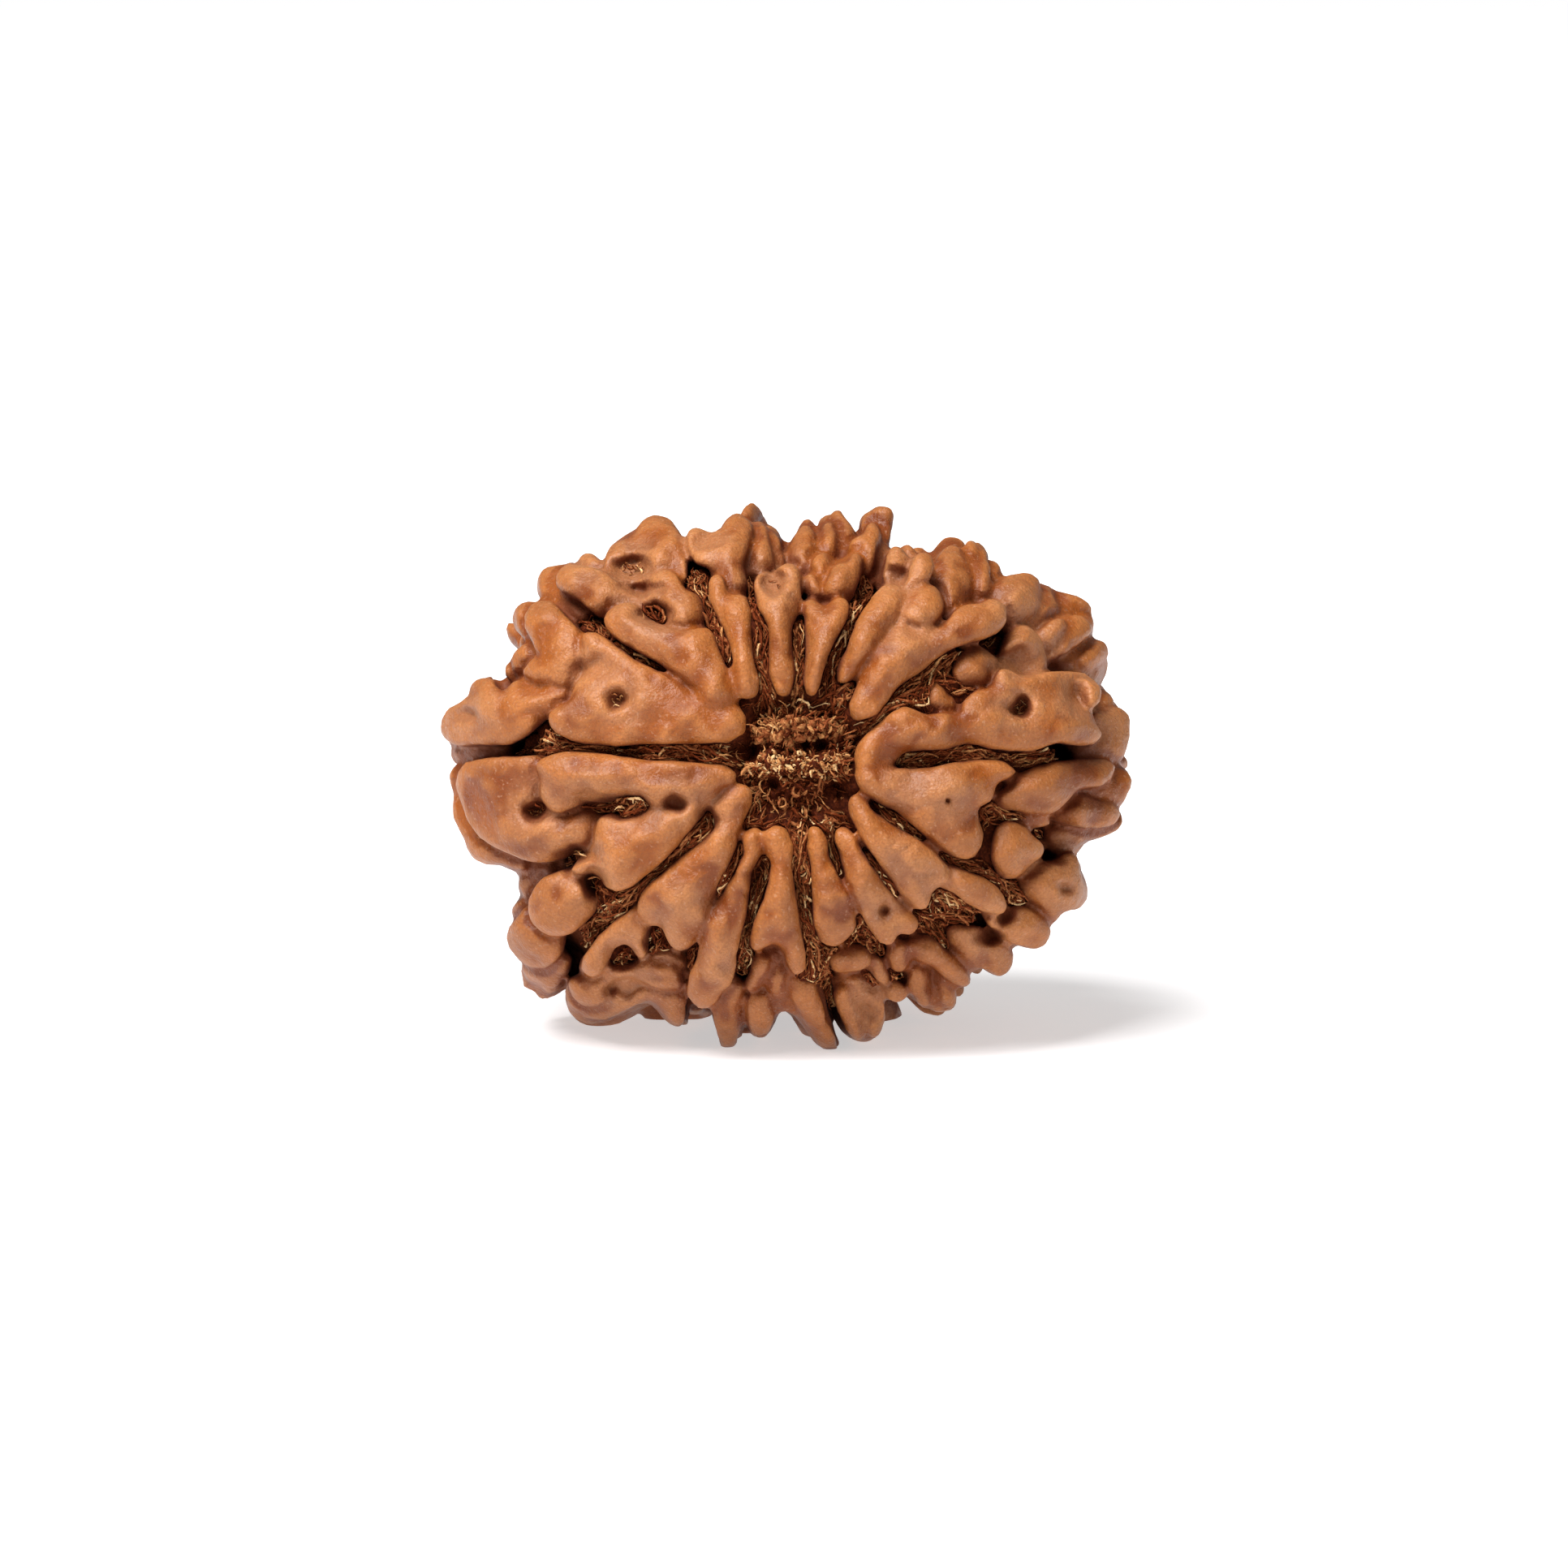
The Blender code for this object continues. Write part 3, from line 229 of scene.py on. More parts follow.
GROOVE_SWINGS = (0.0, 0.45, -0.45, 0.95, -0.95)   # turns that a strand tries at each step
SWING_COST = 0.4                  # how much depth a turn by one radian is worth
DEEP_ENOUGH = 4.0                 # depth from which deeper ground is no better
MAT_WORTH = 2.0                   # and how much of it staying over the mat is worth
LEAST_PLACES = 4                  # a strand with fewer places is too short
DARK_SHARE = 0.88                 # share of the grooves' strands that are dark
DARK_TONE = 0.5                   # the palest of them
PALE_TONES = (0.5, 0.95)
CURL_SHARE = 0.3                  # share of the grooves' strands that are short curls
CURL_DEPTH = 0.3                  # how much deeper they start than strands may lie
CURL_RISE = 0.25                  # how steeply they rise
CURL_LENGTH = (0.35, 1.1)
CURL_WAVE = 0.8
FLOOR_CLEARANCE = 0.6
POLE_CLEARANCE = 2.2
FILLED_HOLLOW = (0.4, 1.1)        # least half width and depth of a hollow with fibre in it
FILLED_MIDDLE = 0.6               # share of a hollow's width in which its curls start
FILLED_BOTTOM = 0.5               # how far below the face they start at least
FILLED_INSIDE = 0.9               # share of its mouth that they stay within
HOLLOW_STRANDS = 60               # tries, times a hollow's half width and half height
HOLLOW_STEPS = 6
HOLLOW_LENGTH = (0.35, 0.8)
HOLLOW_THICKNESS = (0.03, 0.06)
HOLLOW_TONES = (0.2, 0.9)
HOLLOW_TWIST = 2.0
HOLLOW_SLOPE = (-0.6, 0.0)
IN_FRONT = -20.0                  # y of a place in front of everything
TUFT_THICKNESS = (0.03, 0.075)
TUFT_STEPS = 8
TUFT_TWIST = 4.0
TUFT_RADIUS = 2.75
TUFT_ENDS_FROM = (1.7, 2.6)       # how far from the pole the loose ends start
FLAKES_ALONG = (-1.9, 4.1)        # where the flakes' crest starts and how long it is
CURLS_ALONG = (-2.0, 4.2)

# The tufts' shreds: how many, how deep they start, length, curliness, tone, thickness, flatness
LITTER = (1250, (-0.15, 0.35), (0.3, 1.0), 0.9, (0.0, 0.5), TUFT_THICKNESS, STRAND_FLATNESS)
FLAKES = (110, (-0.05, 0.25), (0.4, 0.8), 0.6, (0.3, 0.62), (0.12, 0.26), 0.35)
CURLS = (260, (-0.1, 0.3), (0.35, 0.8), 1.3, (0.45, 0.95), (0.035, 0.085), 0.7)
LOOSE_ENDS = (260, (-0.6, 0.1), (0.4, 1.2), 0.7, (0.1, 0.75), TUFT_THICKNESS, STRAND_FLATNESS)

# The studio. The picture is 1932 pixels wide and shows 25 of them to the seed's millimetre
PICTURE = 1932
PIXELS_PER_MM = 25.0
AIM_PIXEL = (967, 960)            # where the drawing's origin stands in the picture
LENS = 200.0
SENSOR = 36.0
NEAREST_SEEN = 0.01
PAPER_SIZE = 40.0
PAPER_WHITE = (0.64, 0.63, 0.635)
GLOW = (0.52, 0.8)                # light of the paper itself, near the seed and far from it
GLOW_REACH = (0.02, 0.14)
SKY_LIGHT = 0.19
WHITE = (1.0, 1.0, 1.0, 1.0)
LAMP_AIM = (0.0, 0.0, 0.012)
LAMPS = (("key", (-0.21, -0.25, 0.57), 0.40, 7.7),      # name, place, size, power
         ("fill", (0.30, -0.50, 0.25), 0.40, 0.22))

# Small fingers and folds on the rim's lobes: x and z
FINGERS = (
    ((6.35, -8.6), (6.7, -8.5), (6.95, -9.2), (6.95, -10.2), (6.9, -10.95), (6.4, -10.7),
     (6.0, -10.0), (6.05, -9.2)),
    ((7.5, -9.4), (8.0, -9.9), (8.2, -10.5), (8.1, -11.0), (7.75, -11.0), (7.55, -10.4),
     (7.4, -9.9)),
    ((2.45, -10.2), (2.9, -10.1), (3.3, -11.0), (3.55, -12.0), (3.7, -12.7), (3.2, -12.5),
     (2.75, -11.7), (2.45, -10.9)),
    ((4.1, -10.2), (4.5, -10.4), (4.75, -11.2), (4.6, -12.2), (4.25, -12.65), (4.0, -11.6),
     (3.95, -10.8)),
    ((4.05, -8.6), (4.35, -8.5), (4.8, -9.2), (5.0, -9.85), (4.7, -9.95), (4.2, -9.3)),
    ((0.2, -9.6), (0.9, -9.5), (1.6, -10.6), (1.9, -11.8), (2.45, -13.3), (2.0, -13.3),
     (1.3, -12.4), (0.7, -11.4), (0.2, -10.6)),
    ((-1.85, -10.6), (-1.2, -10.4), (-0.7, -11.2), (-0.75, -11.8), (-1.1, -12.4), (-1.65, -12.3),
     (-1.9, -11.4)),
    ((-10.4, -9.6), (-9.4, -9.5), (-8.7, -9.0), (-7.2, -9.0), (-5.6, -8.9), (-5.1, -9.6),
     (-5.2, -10.1), (-6.6, -10.05), (-7.3, -9.75), (-7.9, -9.6), (-8.6, -9.95), (-8.8, -10.7),
     (-9.4, -11.0), (-10.2, -10.8), (-10.5, -10.2)),
    ((8.85, 9.0), (8.75, 10.4), (8.8, 11.3), (9.2, 11.95), (9.4, 11.2), (9.3, 10.0), (9.1, 9.0)),
    ((9.45, 9.0), (9.4, 10.2), (9.5, 11.2), (9.7, 11.5), (9.85, 10.9), (9.85, 9.9), (9.75, 9.0)),
    ((12.35, 7.0), (12.9, 7.75), (13.65, 7.9), (13.5, 7.2), (13.0, 6.5), (12.5, 6.4)),
    ((14.3, 5.9), (14.9, 6.5), (15.3, 6.9), (15.7, 6.4), (15.2, 5.7), (14.6, 5.3)),
    ((14.2, 4.9), (15.0, 4.8), (15.35, 4.4), (14.9, 3.6), (14.6, 3.9), (14.3, 4.4)),
)

# Lobes of the front half, in sectors clockwise from the top. Each is how far its face lies below
# the crown surface, then its outline.
LOBES = (
    # rib just right of the top
    (0.0, ((1.05, 4.1), (1.0, 6.0), (0.95, 7.8), (0.85, 8.4), (1.15, 8.8), (1.9, 8.35),
           (2.5, 8.85), (3.0, 8.4), (2.8, 7.7), (2.2, 6.6), (1.7, 5.3), (1.35, 4.2))),
    (0.8, ((1.9, 9.1), (2.1, 10.0), (2.3, 10.5), (3.0, 10.8), (3.45, 11.1), (3.65, 10.4),
           (3.4, 9.6), (3.0, 8.7), (2.3, 8.5))),
    (1.2, ((0.95, 9.2), (1.1, 10.1), (1.6, 9.6), (1.9, 9.0), (1.5, 8.6))),
    (1.6, ((1.3, 10.3), (1.6, 11.15), (2.1, 10.85), (2.3, 10.1), (1.9, 9.3), (1.5, 9.5))),
    (3.0, ((0.0, 10.8), (0.5, 12.1), (1.05, 12.65), (1.35, 12.0), (1.5, 11.2), (1.0, 9.8),
           (0.3, 9.8))),
    (3.4, ((1.55, 11.0), (1.6, 12.0), (2.05, 12.75), (2.4, 12.4), (2.4, 11.2), (2.2, 9.9),
           (1.6, 9.9))),
    (4.0, ((2.35, 12.7), (2.45, 13.15), (2.85, 12.7), (3.4, 11.7), (3.2, 10.4), (2.6, 9.9),
           (2.3, 11.0))),
    # tall finger behind the second rib
    (3.3, ((3.7, 12.1), (3.8, 12.7), (4.3, 13.2), (5.0, 13.55), (5.35, 13.1), (5.1, 12.2),
           (4.85, 11.0), (4.6, 9.6), (3.7, 9.6), (3.4, 10.8))),
    (2.5, ((3.0, 11.1), (3.2, 11.6), (3.8, 12.0), (4.2, 12.6), (4.6, 12.3), (4.3, 11.2),
           (4.0, 10.0), (3.2, 10.0))),
    (0.2, ((2.5, 4.7), (2.9, 6.2), (3.4, 7.6), (4.1, 8.7), (4.9, 9.5), (5.7, 9.3), (5.95, 10.2),
           (6.5, 10.95), (6.95, 10.7), (6.9, 9.8), (6.2, 9.1), (5.4, 7.9), (4.4, 6.5),
           (3.5, 5.3))),
    (1.1, ((4.7, 9.4), (4.85, 10.6), (5.3, 11.35), (5.75, 11.0), (5.95, 10.2), (5.6, 8.8),
           (4.9, 8.6))),
    (4.2, ((5.65, 11.2), (5.95, 11.65), (6.25, 11.15), (6.55, 10.9), (6.4, 9.6), (5.7, 9.6))),
    # forked bar at one o'clock
    (0.0, ((3.15, 3.05), (3.4, 4.5), (4.1, 5.9), (5.0, 7.05), (5.5, 7.7), (5.9, 8.8), (6.7, 9.4),
           (7.4, 8.9), (7.5, 8.0), (7.0, 7.35), (8.0, 7.9), (8.4, 8.35), (9.4, 8.55), (10.0, 8.75),
           (10.65, 8.2), (10.2, 7.2), (9.0, 6.8), (7.7, 6.3), (6.6, 5.4), (5.3, 4.5), (4.4, 3.3),
           (3.8, 3.0))),
    (1.9, ((7.0, 9.9), (7.5, 11.0), (8.0, 11.45), (8.6, 11.35), (8.9, 10.2), (8.95, 8.7),
           (8.0, 7.6), (7.2, 8.6))),
    (2.5, ((8.7, 11.3), (9.0, 11.8), (9.4, 12.0), (9.85, 11.4), (9.85, 10.2), (9.8, 8.6),
           (8.8, 8.0), (8.7, 10.0))),
    (3.1, ((9.9, 11.0), (10.35, 10.9), (10.55, 10.3), (10.2, 8.6), (9.3, 8.0), (9.6, 9.6))),
    (2.3, ((9.8, 9.0), (10.5, 9.8), (11.4, 10.05), (12.4, 9.8), (12.2, 8.2), (10.8, 7.4),
           (9.6, 7.4))),
    (2.7, ((12.3, 9.7), (12.9, 9.75), (13.4, 9.45), (13.2, 7.9), (11.8, 7.2), (11.9, 8.6))),
    (3.1, ((13.2, 9.45), (14.0, 9.15), (14.7, 8.6), (14.8, 8.0), (13.6, 7.2), (12.0, 7.0),
           (12.6, 8.4))),
    # broad plate with an eye, at two o'clock
    (0.0, ((3.35, 0.7), (3.5, 1.7), (4.6, 2.8), (5.7, 3.55), (6.6, 3.1), (7.6, 3.2), (8.3, 3.1),
           (8.5, 3.7), (9.2, 4.3), (10.05, 4.55), (10.4, 5.4), (11.4, 5.05), (12.6, 5.2),
           (14.0, 5.3), (15.0, 4.95), (15.4, 4.4), (14.8, 3.5), (15.1, 2.7), (15.5, 2.25),
           (14.4, 1.75), (13.2, 1.9), (12.0, 1.5), (9.8, 1.6), (8.7, 1.85), (7.6, 1.5), (5.6, 1.4),
           (4.7, 0.5))),
    (1.1, ((8.0, 5.3), (8.4, 6.1), (9.1, 6.5), (9.8, 6.2), (10.3, 5.5), (10.0, 4.4), (9.0, 4.3),
           (8.2, 4.7))),
    (1.3, ((10.3, 6.0), (10.7, 7.0), (11.7, 7.6), (12.3, 7.2), (12.6, 6.3), (12.6, 5.2),
           (11.0, 4.8), (10.2, 5.2))),
    (2.1, ((12.2, 7.2), (13.0, 7.85), (14.2, 8.05), (15.0, 7.75), (14.4, 6.9), (13.1, 6.0),
           (12.3, 5.6))),
    (3.2, ((13.2, 6.1), (14.2, 6.7), (15.0, 7.0), (15.7, 6.5), (15.5, 5.6), (14.8, 4.8),
           (13.2, 4.8))),
    (3.6, ((14.6, 4.9), (15.5, 4.7), (16.15, 4.0), (15.9, 3.3), (14.6, 3.2))),
    (2.9, ((14.6, 3.3), (15.6, 3.45), (16.4, 3.4), (17.0, 2.6), (16.95, 1.6), (16.4, 0.8),
           (15.0, 0.9), (13.8, 1.6), (13.8, 2.6))),
    (1.2, ((6.9, 3.2), (6.9, 4.5), (7.15, 4.9), (7.7, 4.2), (8.4, 3.5), (8.2, 2.9))),
    # broad smooth plate at three o'clock
    (0.0, ((3.35, 0.3), (3.6, 0.85), (4.8, 0.55), (7.0, 0.6), (9.6, 0.95), (11.1, 0.45),
           (10.1, -0.1), (9.9, -0.9), (9.2, -1.3), (9.45, -2.6), (9.0, -3.65), (8.2, -3.7),
           (6.9, -2.8), (5.4, -1.5), (3.8, -0.6))),
    (0.8, ((10.1, -1.1), (10.9, -0.1), (12.0, 0.6), (14.0, 0.95), (15.2, 1.0), (16.0, 0.7),
           (15.3, -0.2), (14.1, -0.4), (13.4, -1.2), (12.2, -1.65), (11.0, -1.4))),
    (2.6, ((14.6, 0.6), (16.2, 0.75), (17.1, 0.0), (16.7, -0.6), (16.2, -1.2), (14.8, -1.2),
           (13.8, -0.3))),
    (2.2, ((12.8, -1.6), (14.0, -0.7), (15.0, -0.9), (16.1, -1.4), (16.0, -2.0), (14.8, -2.25),
           (13.4, -2.0))),
    (3.4, ((13.0, -1.8), (14.6, -1.8), (16.2, -1.4), (16.5, -2.1), (15.8, -2.6), (14.7, -3.0),
           (14.0, -3.5), (12.8, -3.3))),
    (0.7, ((10.0, -2.9), (10.3, -2.15), (11.1, -2.05), (12.0, -2.8), (12.6, -3.4), (11.9, -4.1),
           (11.2, -4.75), (10.2, -4.5))),
    (1.4, ((11.0, -1.7), (12.6, -1.6), (12.9, -1.9), (12.4, -2.2), (11.0, -2.2))),
    (1.5, ((11.3, -4.9), (12.0, -4.2), (13.2, -4.0), (14.1, -3.55), (14.4, -4.6), (14.6, -5.2),
           (14.3, -6.2), (13.3, -6.4), (12.9, -7.0), (12.2, -6.2), (11.4, -5.5))),
    # forked bars at four o'clock
    (0.0, ((3.0, -1.2), (3.4, -0.65), (4.0, -1.4), (5.2, -2.25), (6.5, -3.0), (7.7, -4.1),
           (7.8, -4.9), (7.0, -5.3), (6.8, -6.15), (6.2, -6.15), (5.3, -5.1), (4.3, -3.7),
           (3.4, -2.3))),
    (0.3, ((7.5, -4.1), (8.5, -4.35), (9.7, -4.85), (10.5, -5.6), (10.6, -6.3), (10.0, -6.4),
           (9.0, -6.05), (8.1, -5.4), (7.4, -5.0))),
    (1.2, ((9.5, -5.9), (10.2, -6.5), (11.2, -6.1), (12.3, -6.6), (12.8, -7.3), (12.5, -8.0),
           (11.6, -8.05), (10.5, -7.6), (9.8, -7.0))),
    (1.8, ((7.8, -7.2), (8.6, -7.0), (9.8, -7.3), (10.7, -7.9), (10.75, -8.9), (10.2, -9.4),
           (9.5, -9.0), (8.9, -9.2), (8.2, -8.4))),
    (3.4, ((10.0, -7.2), (10.6, -7.6), (10.95, -8.1), (10.6, -8.4), (9.8, -8.2))),
    (1.6, ((6.0, -7.7), (6.8, -7.5), (7.7, -8.3), (8.7, -9.2), (8.85, -9.9), (8.3, -10.0),
           (7.2, -9.1), (6.1, -8.5))),
    # ribs at five o'clock
    (0.2, ((2.4, -2.4), (2.9, -2.3), (3.6, -3.5), (4.6, -4.9), (5.6, -6.1), (6.35, -6.9),
           (5.9, -7.35), (5.4, -7.3), (4.9, -7.9), (4.1, -7.2), (3.5, -6.1), (2.9, -4.7),
           (2.6, -3.5))),
    (1.8, ((5.1, -7.8), (5.9, -7.9), (6.0, -9.0), (5.6, -9.35), (5.15, -9.1))),
    (2.6, ((5.8, -8.1), (6.4, -8.2), (7.0, -8.8), (8.0, -9.8), (8.2, -10.5), (7.8, -11.1),
           (6.8, -10.9), (5.9, -10.1))),
    (2.2, ((3.7, -8.2), (4.4, -8.7), (5.1, -9.6), (5.8, -10.3), (5.6, -10.75), (5.0, -10.6),
           (4.3, -9.8), (3.6, -9.1))),
    (0.2, ((1.05, -2.4), (1.6, -2.3), (2.0, -3.7), (2.8, -5.3), (3.35, -6.9), (3.1, -7.4),
           (2.4, -8.0), (1.7, -7.8), (1.3, -6.0), (1.2, -4.0))),
    (1.6, ((2.0, -8.2), (3.0, -8.0), (3.9, -8.2), (4.0, -9.0), (3.0, -9.3), (2.3, -9.35))),
    (2.2, ((2.3, -9.2), (3.3, -9.2), (4.3, -9.9), (4.75, -11.1), (4.6, -12.2), (4.0, -12.75),
           (3.3, -12.6), (2.7, -11.7), (2.4, -10.5))),
    # ribs at six o'clock, with the lowest finger, which it stands on
    (0.0, ((-1.05, -2.5), (0.0, -2.4), (0.2, -4.0), (0.45, -6.0), (0.7, -7.7), (0.85, -9.1),
           (0.4, -9.4), (0.0, -8.3), (-0.6, -7.7), (-1.5, -8.2), (-1.7, -7.6), (-1.1, -5.8),
           (-0.7, -4.0))),
    (1.2, ((-1.4, -8.3), (-0.8, -8.6), (-1.0, -9.4), (-1.6, -10.3), (-1.95, -10.0), (-1.7, -9.3))),
    (1.5, ((-1.2, -7.9), (0.0, -8.0), (0.6, -9.4), (1.4, -9.6), (1.9, -11.0), (2.35, -12.5),
           (2.5, -13.4), (1.8, -13.2), (1.0, -12.2), (0.0, -11.2), (-0.6, -11.5), (-1.1, -12.5),
           (-1.7, -12.3), (-1.9, -11.2), (-1.5, -9.8))),
    (0.2, ((-1.1, -2.6), (-2.0, -2.5), (-2.0, -3.6), (-3.0, -5.3), (-3.8, -6.9), (-4.3, -8.7),
           (-4.75, -10.0), (-4.4, -10.9), (-3.8, -11.0), (-3.2, -10.2), (-2.6, -9.6), (-2.5, -8.4),
           (-1.9, -6.2), (-1.75, -4.4))),
    (1.5, ((-3.7, -9.8), (-2.3, -9.6), (-2.1, -11.0), (-2.45, -12.6), (-2.9, -13.45),
           (-3.3, -12.6), (-3.5, -11.4))),
    # branched bar at seven o'clock
    (0.2, ((-1.65, -0.4), (-2.3, -0.2), (-3.2, -0.6), (-3.7, -1.4), (-3.4, -2.3), (-4.4, -3.2),
           (-5.8, -4.4), (-6.9, -5.4), (-7.2, -6.4), (-6.7, -7.0), (-6.1, -6.9), (-5.8, -7.6),
           (-5.2, -8.25), (-4.4, -7.7), (-3.9, -6.6), (-3.55, -5.6), (-2.6, -3.5), (-2.1, -1.8))),
    (0.4, ((-6.4, -5.6), (-7.6, -6.4), (-8.6, -7.1), (-9.5, -8.2), (-9.95, -9.1), (-9.4, -9.5),
           (-8.8, -9.0), (-8.4, -8.1), (-7.7, -7.95), (-7.1, -8.65), (-6.8, -8.0), (-6.6, -6.8))),
    (2.1, ((-9.4, -9.2), (-8.6, -8.0), (-6.4, -7.6), (-5.0, -7.8), (-4.8, -9.4), (-5.0, -11.0),
           (-5.2, -12.0), (-5.9, -11.6), (-6.7, -10.8), (-8.0, -11.4), (-9.8, -11.7),
           (-10.8, -11.1), (-10.6, -9.8))),
    # double bar at nine o'clock, with its broad plate at the rim
    (0.0, ((-2.4, 0.3), (-4.0, 0.75), (-7.0, 0.95), (-9.4, 1.3), (-11.6, 1.05), (-12.0, 0.6),
           (-11.8, -0.1), (-11.9, -1.0), (-11.0, -1.5), (-9.6, -1.0), (-7.4, -1.2), (-5.4, -1.8),
           (-4.2, -1.4), (-3.2, -0.4))),
    (0.0, ((-3.9, -0.8), (-6.4, -1.3), (-9.0, -1.8), (-9.3, -3.2), (-10.4, -4.4), (-9.4, -4.5),
           (-8.8, -5.1), (-8.1, -5.35), (-7.0, -4.7), (-5.8, -3.7), (-4.7, -2.4))),
    (1.0, ((-11.0, 0.9), (-13.0, 1.1), (-15.0, 0.95), (-16.0, 0.5), (-16.0, -0.9), (-15.4, -2.2),
           (-14.2, -3.3), (-12.6, -3.8), (-11.2, -3.85), (-10.0, -3.4), (-8.8, -3.0), (-8.8, -1.4),
           (-10.4, -0.6))),
    (2.7, ((-15.2, 0.85), (-16.5, 0.6), (-16.7, 0.1), (-16.4, -0.7), (-16.45, -1.7), (-15.7, -2.8),
           (-15.3, -3.75), (-14.0, -4.1), (-12.9, -4.4), (-12.6, -3.0), (-14.0, -1.0))),
    (3.6, ((-12.9, -3.6), (-13.1, -4.8), (-13.0, -5.5), (-12.2, -6.3), (-10.6, -5.6),
           (-10.6, -3.6))),
    (3.9, ((-12.6, -5.7), (-13.3, -6.1), (-13.35, -6.8), (-12.4, -7.0), (-11.6, -6.2))),
    (0.9, ((-9.7, -4.2), (-11.2, -4.5), (-12.1, -5.2), (-12.4, -6.2), (-11.9, -7.3), (-10.9, -7.5),
           (-9.8, -6.9), (-9.1, -6.0), (-8.8, -5.2), (-9.2, -4.4))),
    (2.0, ((-12.2, -6.0), (-13.1, -6.7), (-13.6, -7.6), (-13.3, -8.6), (-12.4, -9.15),
           (-11.3, -8.8), (-10.8, -7.8), (-11.0, -6.8))),
    (3.0, ((-12.9, -8.6), (-12.6, -9.85), (-12.1, -10.0), (-11.75, -10.4), (-11.0, -9.7),
           (-10.4, -8.6), (-11.6, -7.8))),
    # plate with a curl, at ten o'clock
    (0.0, ((-2.1, 2.3), (-2.4, 3.7), (-3.6, 3.4), (-4.6, 4.2), (-5.8, 5.1), (-7.4, 5.8),
           (-8.6, 6.7), (-9.8, 7.1), (-9.7, 5.2), (-10.3, 4.6), (-10.4, 3.9), (-11.45, 3.1),
           (-10.9, 2.3), (-9.6, 1.8), (-7.0, 1.8), (-4.0, 1.85))),
    (0.5, ((-8.6, 6.4), (-10.0, 7.2), (-11.0, 8.2), (-11.7, 8.75), (-12.5, 8.5), (-12.6, 7.4),
           (-12.0, 6.1), (-12.9, 5.3), (-11.6, 4.8), (-10.0, 4.4), (-8.6, 4.6))),
    (0.9, ((-10.0, 5.0), (-10.2, 3.9), (-11.6, 3.2), (-12.4, 2.4), (-13.4, 1.8), (-15.0, 1.8),
           (-16.6, 1.9), (-17.1, 2.5), (-16.6, 3.5), (-15.6, 4.05), (-15.4, 4.7), (-14.5, 5.0),
           (-13.85, 4.2), (-13.3, 4.85), (-12.0, 4.9))),
    (2.8, ((-12.0, 8.4), (-13.1, 8.65), (-13.35, 8.0), (-12.7, 6.9), (-11.8, 6.4), (-11.4, 7.6))),
    (2.4, ((-12.0, 6.6), (-12.8, 6.6), (-13.4, 6.0), (-13.2, 5.1), (-11.8, 4.6), (-11.4, 5.8))),
    (3.4, ((-12.8, 5.8), (-13.7, 5.65), (-13.8, 5.3), (-13.2, 4.8), (-12.2, 4.8))),
    (3.0, ((-16.6, 2.1), (-16.8, 1.5), (-16.2, 1.0), (-15.2, 0.95), (-14.0, 1.0), (-13.2, 2.0),
           (-15.0, 2.6))),
    # ribs at eleven o'clock, with the broad summit
    (0.0, ((-2.35, 4.0), (-2.8, 5.1), (-3.4, 6.5), (-3.8, 7.35), (-5.0, 7.2), (-6.2, 7.5),
           (-7.0, 8.2), (-7.7, 8.6), (-8.7, 8.1), (-8.6, 7.3), (-7.2, 6.3), (-5.6, 5.4),
           (-4.4, 4.4), (-3.5, 3.3))),
    (0.9, ((-4.0, 8.1), (-4.3, 8.9), (-4.9, 9.15), (-5.6, 10.2), (-6.6, 9.9), (-6.6, 8.8),
           (-6.0, 7.9), (-6.0, 7.0), (-4.4, 7.0))),
    (1.3, ((-5.2, 9.1), (-4.85, 10.6), (-5.2, 12.0), (-5.8, 12.8), (-6.6, 12.9), (-7.3, 12.2),
           (-8.2, 11.7), (-8.85, 11.1), (-8.5, 9.7), (-7.6, 9.3), (-6.4, 8.6))),
    (1.0, ((-5.8, 8.4), (-6.8, 8.9), (-8.2, 9.6), (-9.2, 10.3), (-10.2, 10.5), (-10.8, 10.7),
           (-11.35, 10.1), (-11.0, 9.3), (-10.0, 8.8), (-9.2, 8.1), (-8.0, 8.0), (-6.4, 7.6))),
    (2.7, ((-10.8, 10.6), (-11.7, 10.6), (-12.3, 10.2), (-12.0, 9.1), (-11.3, 8.2), (-10.2, 7.6),
           (-9.4, 8.4), (-10.0, 9.6))),
    (3.0, ((-9.0, 10.6), (-9.8, 11.1), (-10.2, 10.8), (-9.9, 9.6), (-8.9, 9.2), (-8.2, 10.0))),
    # two ribs left of the top
    (0.0, ((-1.45, 4.1), (-1.65, 5.8), (-1.75, 7.2), (-2.0, 8.9), (-2.9, 9.1), (-3.2, 9.9),
           (-3.7, 9.6), (-3.5, 8.4), (-2.9, 7.1), (-2.5, 5.7), (-2.35, 4.1))),
    (0.9, ((-2.1, 8.6), (-2.15, 10.5), (-1.9, 11.6), (-1.7, 12.4), (-2.1, 13.0), (-2.45, 13.25),
           (-2.9, 12.8), (-3.3, 12.1), (-3.9, 12.0), (-4.5, 12.25), (-4.75, 11.7), (-4.4, 10.6),
           (-3.6, 10.3), (-3.7, 8.8))),
    (0.0, ((0.15, 4.2), (0.2, 6.6), (0.2, 7.6), (0.6, 8.4), (0.6, 9.6), (0.4, 10.5), (-0.2, 10.4),
           (-0.7, 9.95), (-1.3, 9.95), (-1.5, 9.3), (-1.3, 8.3), (-0.85, 7.6), (-0.8, 6.2),
           (-0.4, 4.2))),
    (2.0, ((-0.95, 9.6), (-0.95, 12.0), (-1.35, 12.75), (-1.8, 12.2), (-1.95, 11.2), (-1.6, 9.6))),
    (2.6, ((-0.3, 10.0), (-0.35, 11.5), (-0.7, 12.3), (-1.1, 12.1), (-1.2, 10.0))),
)

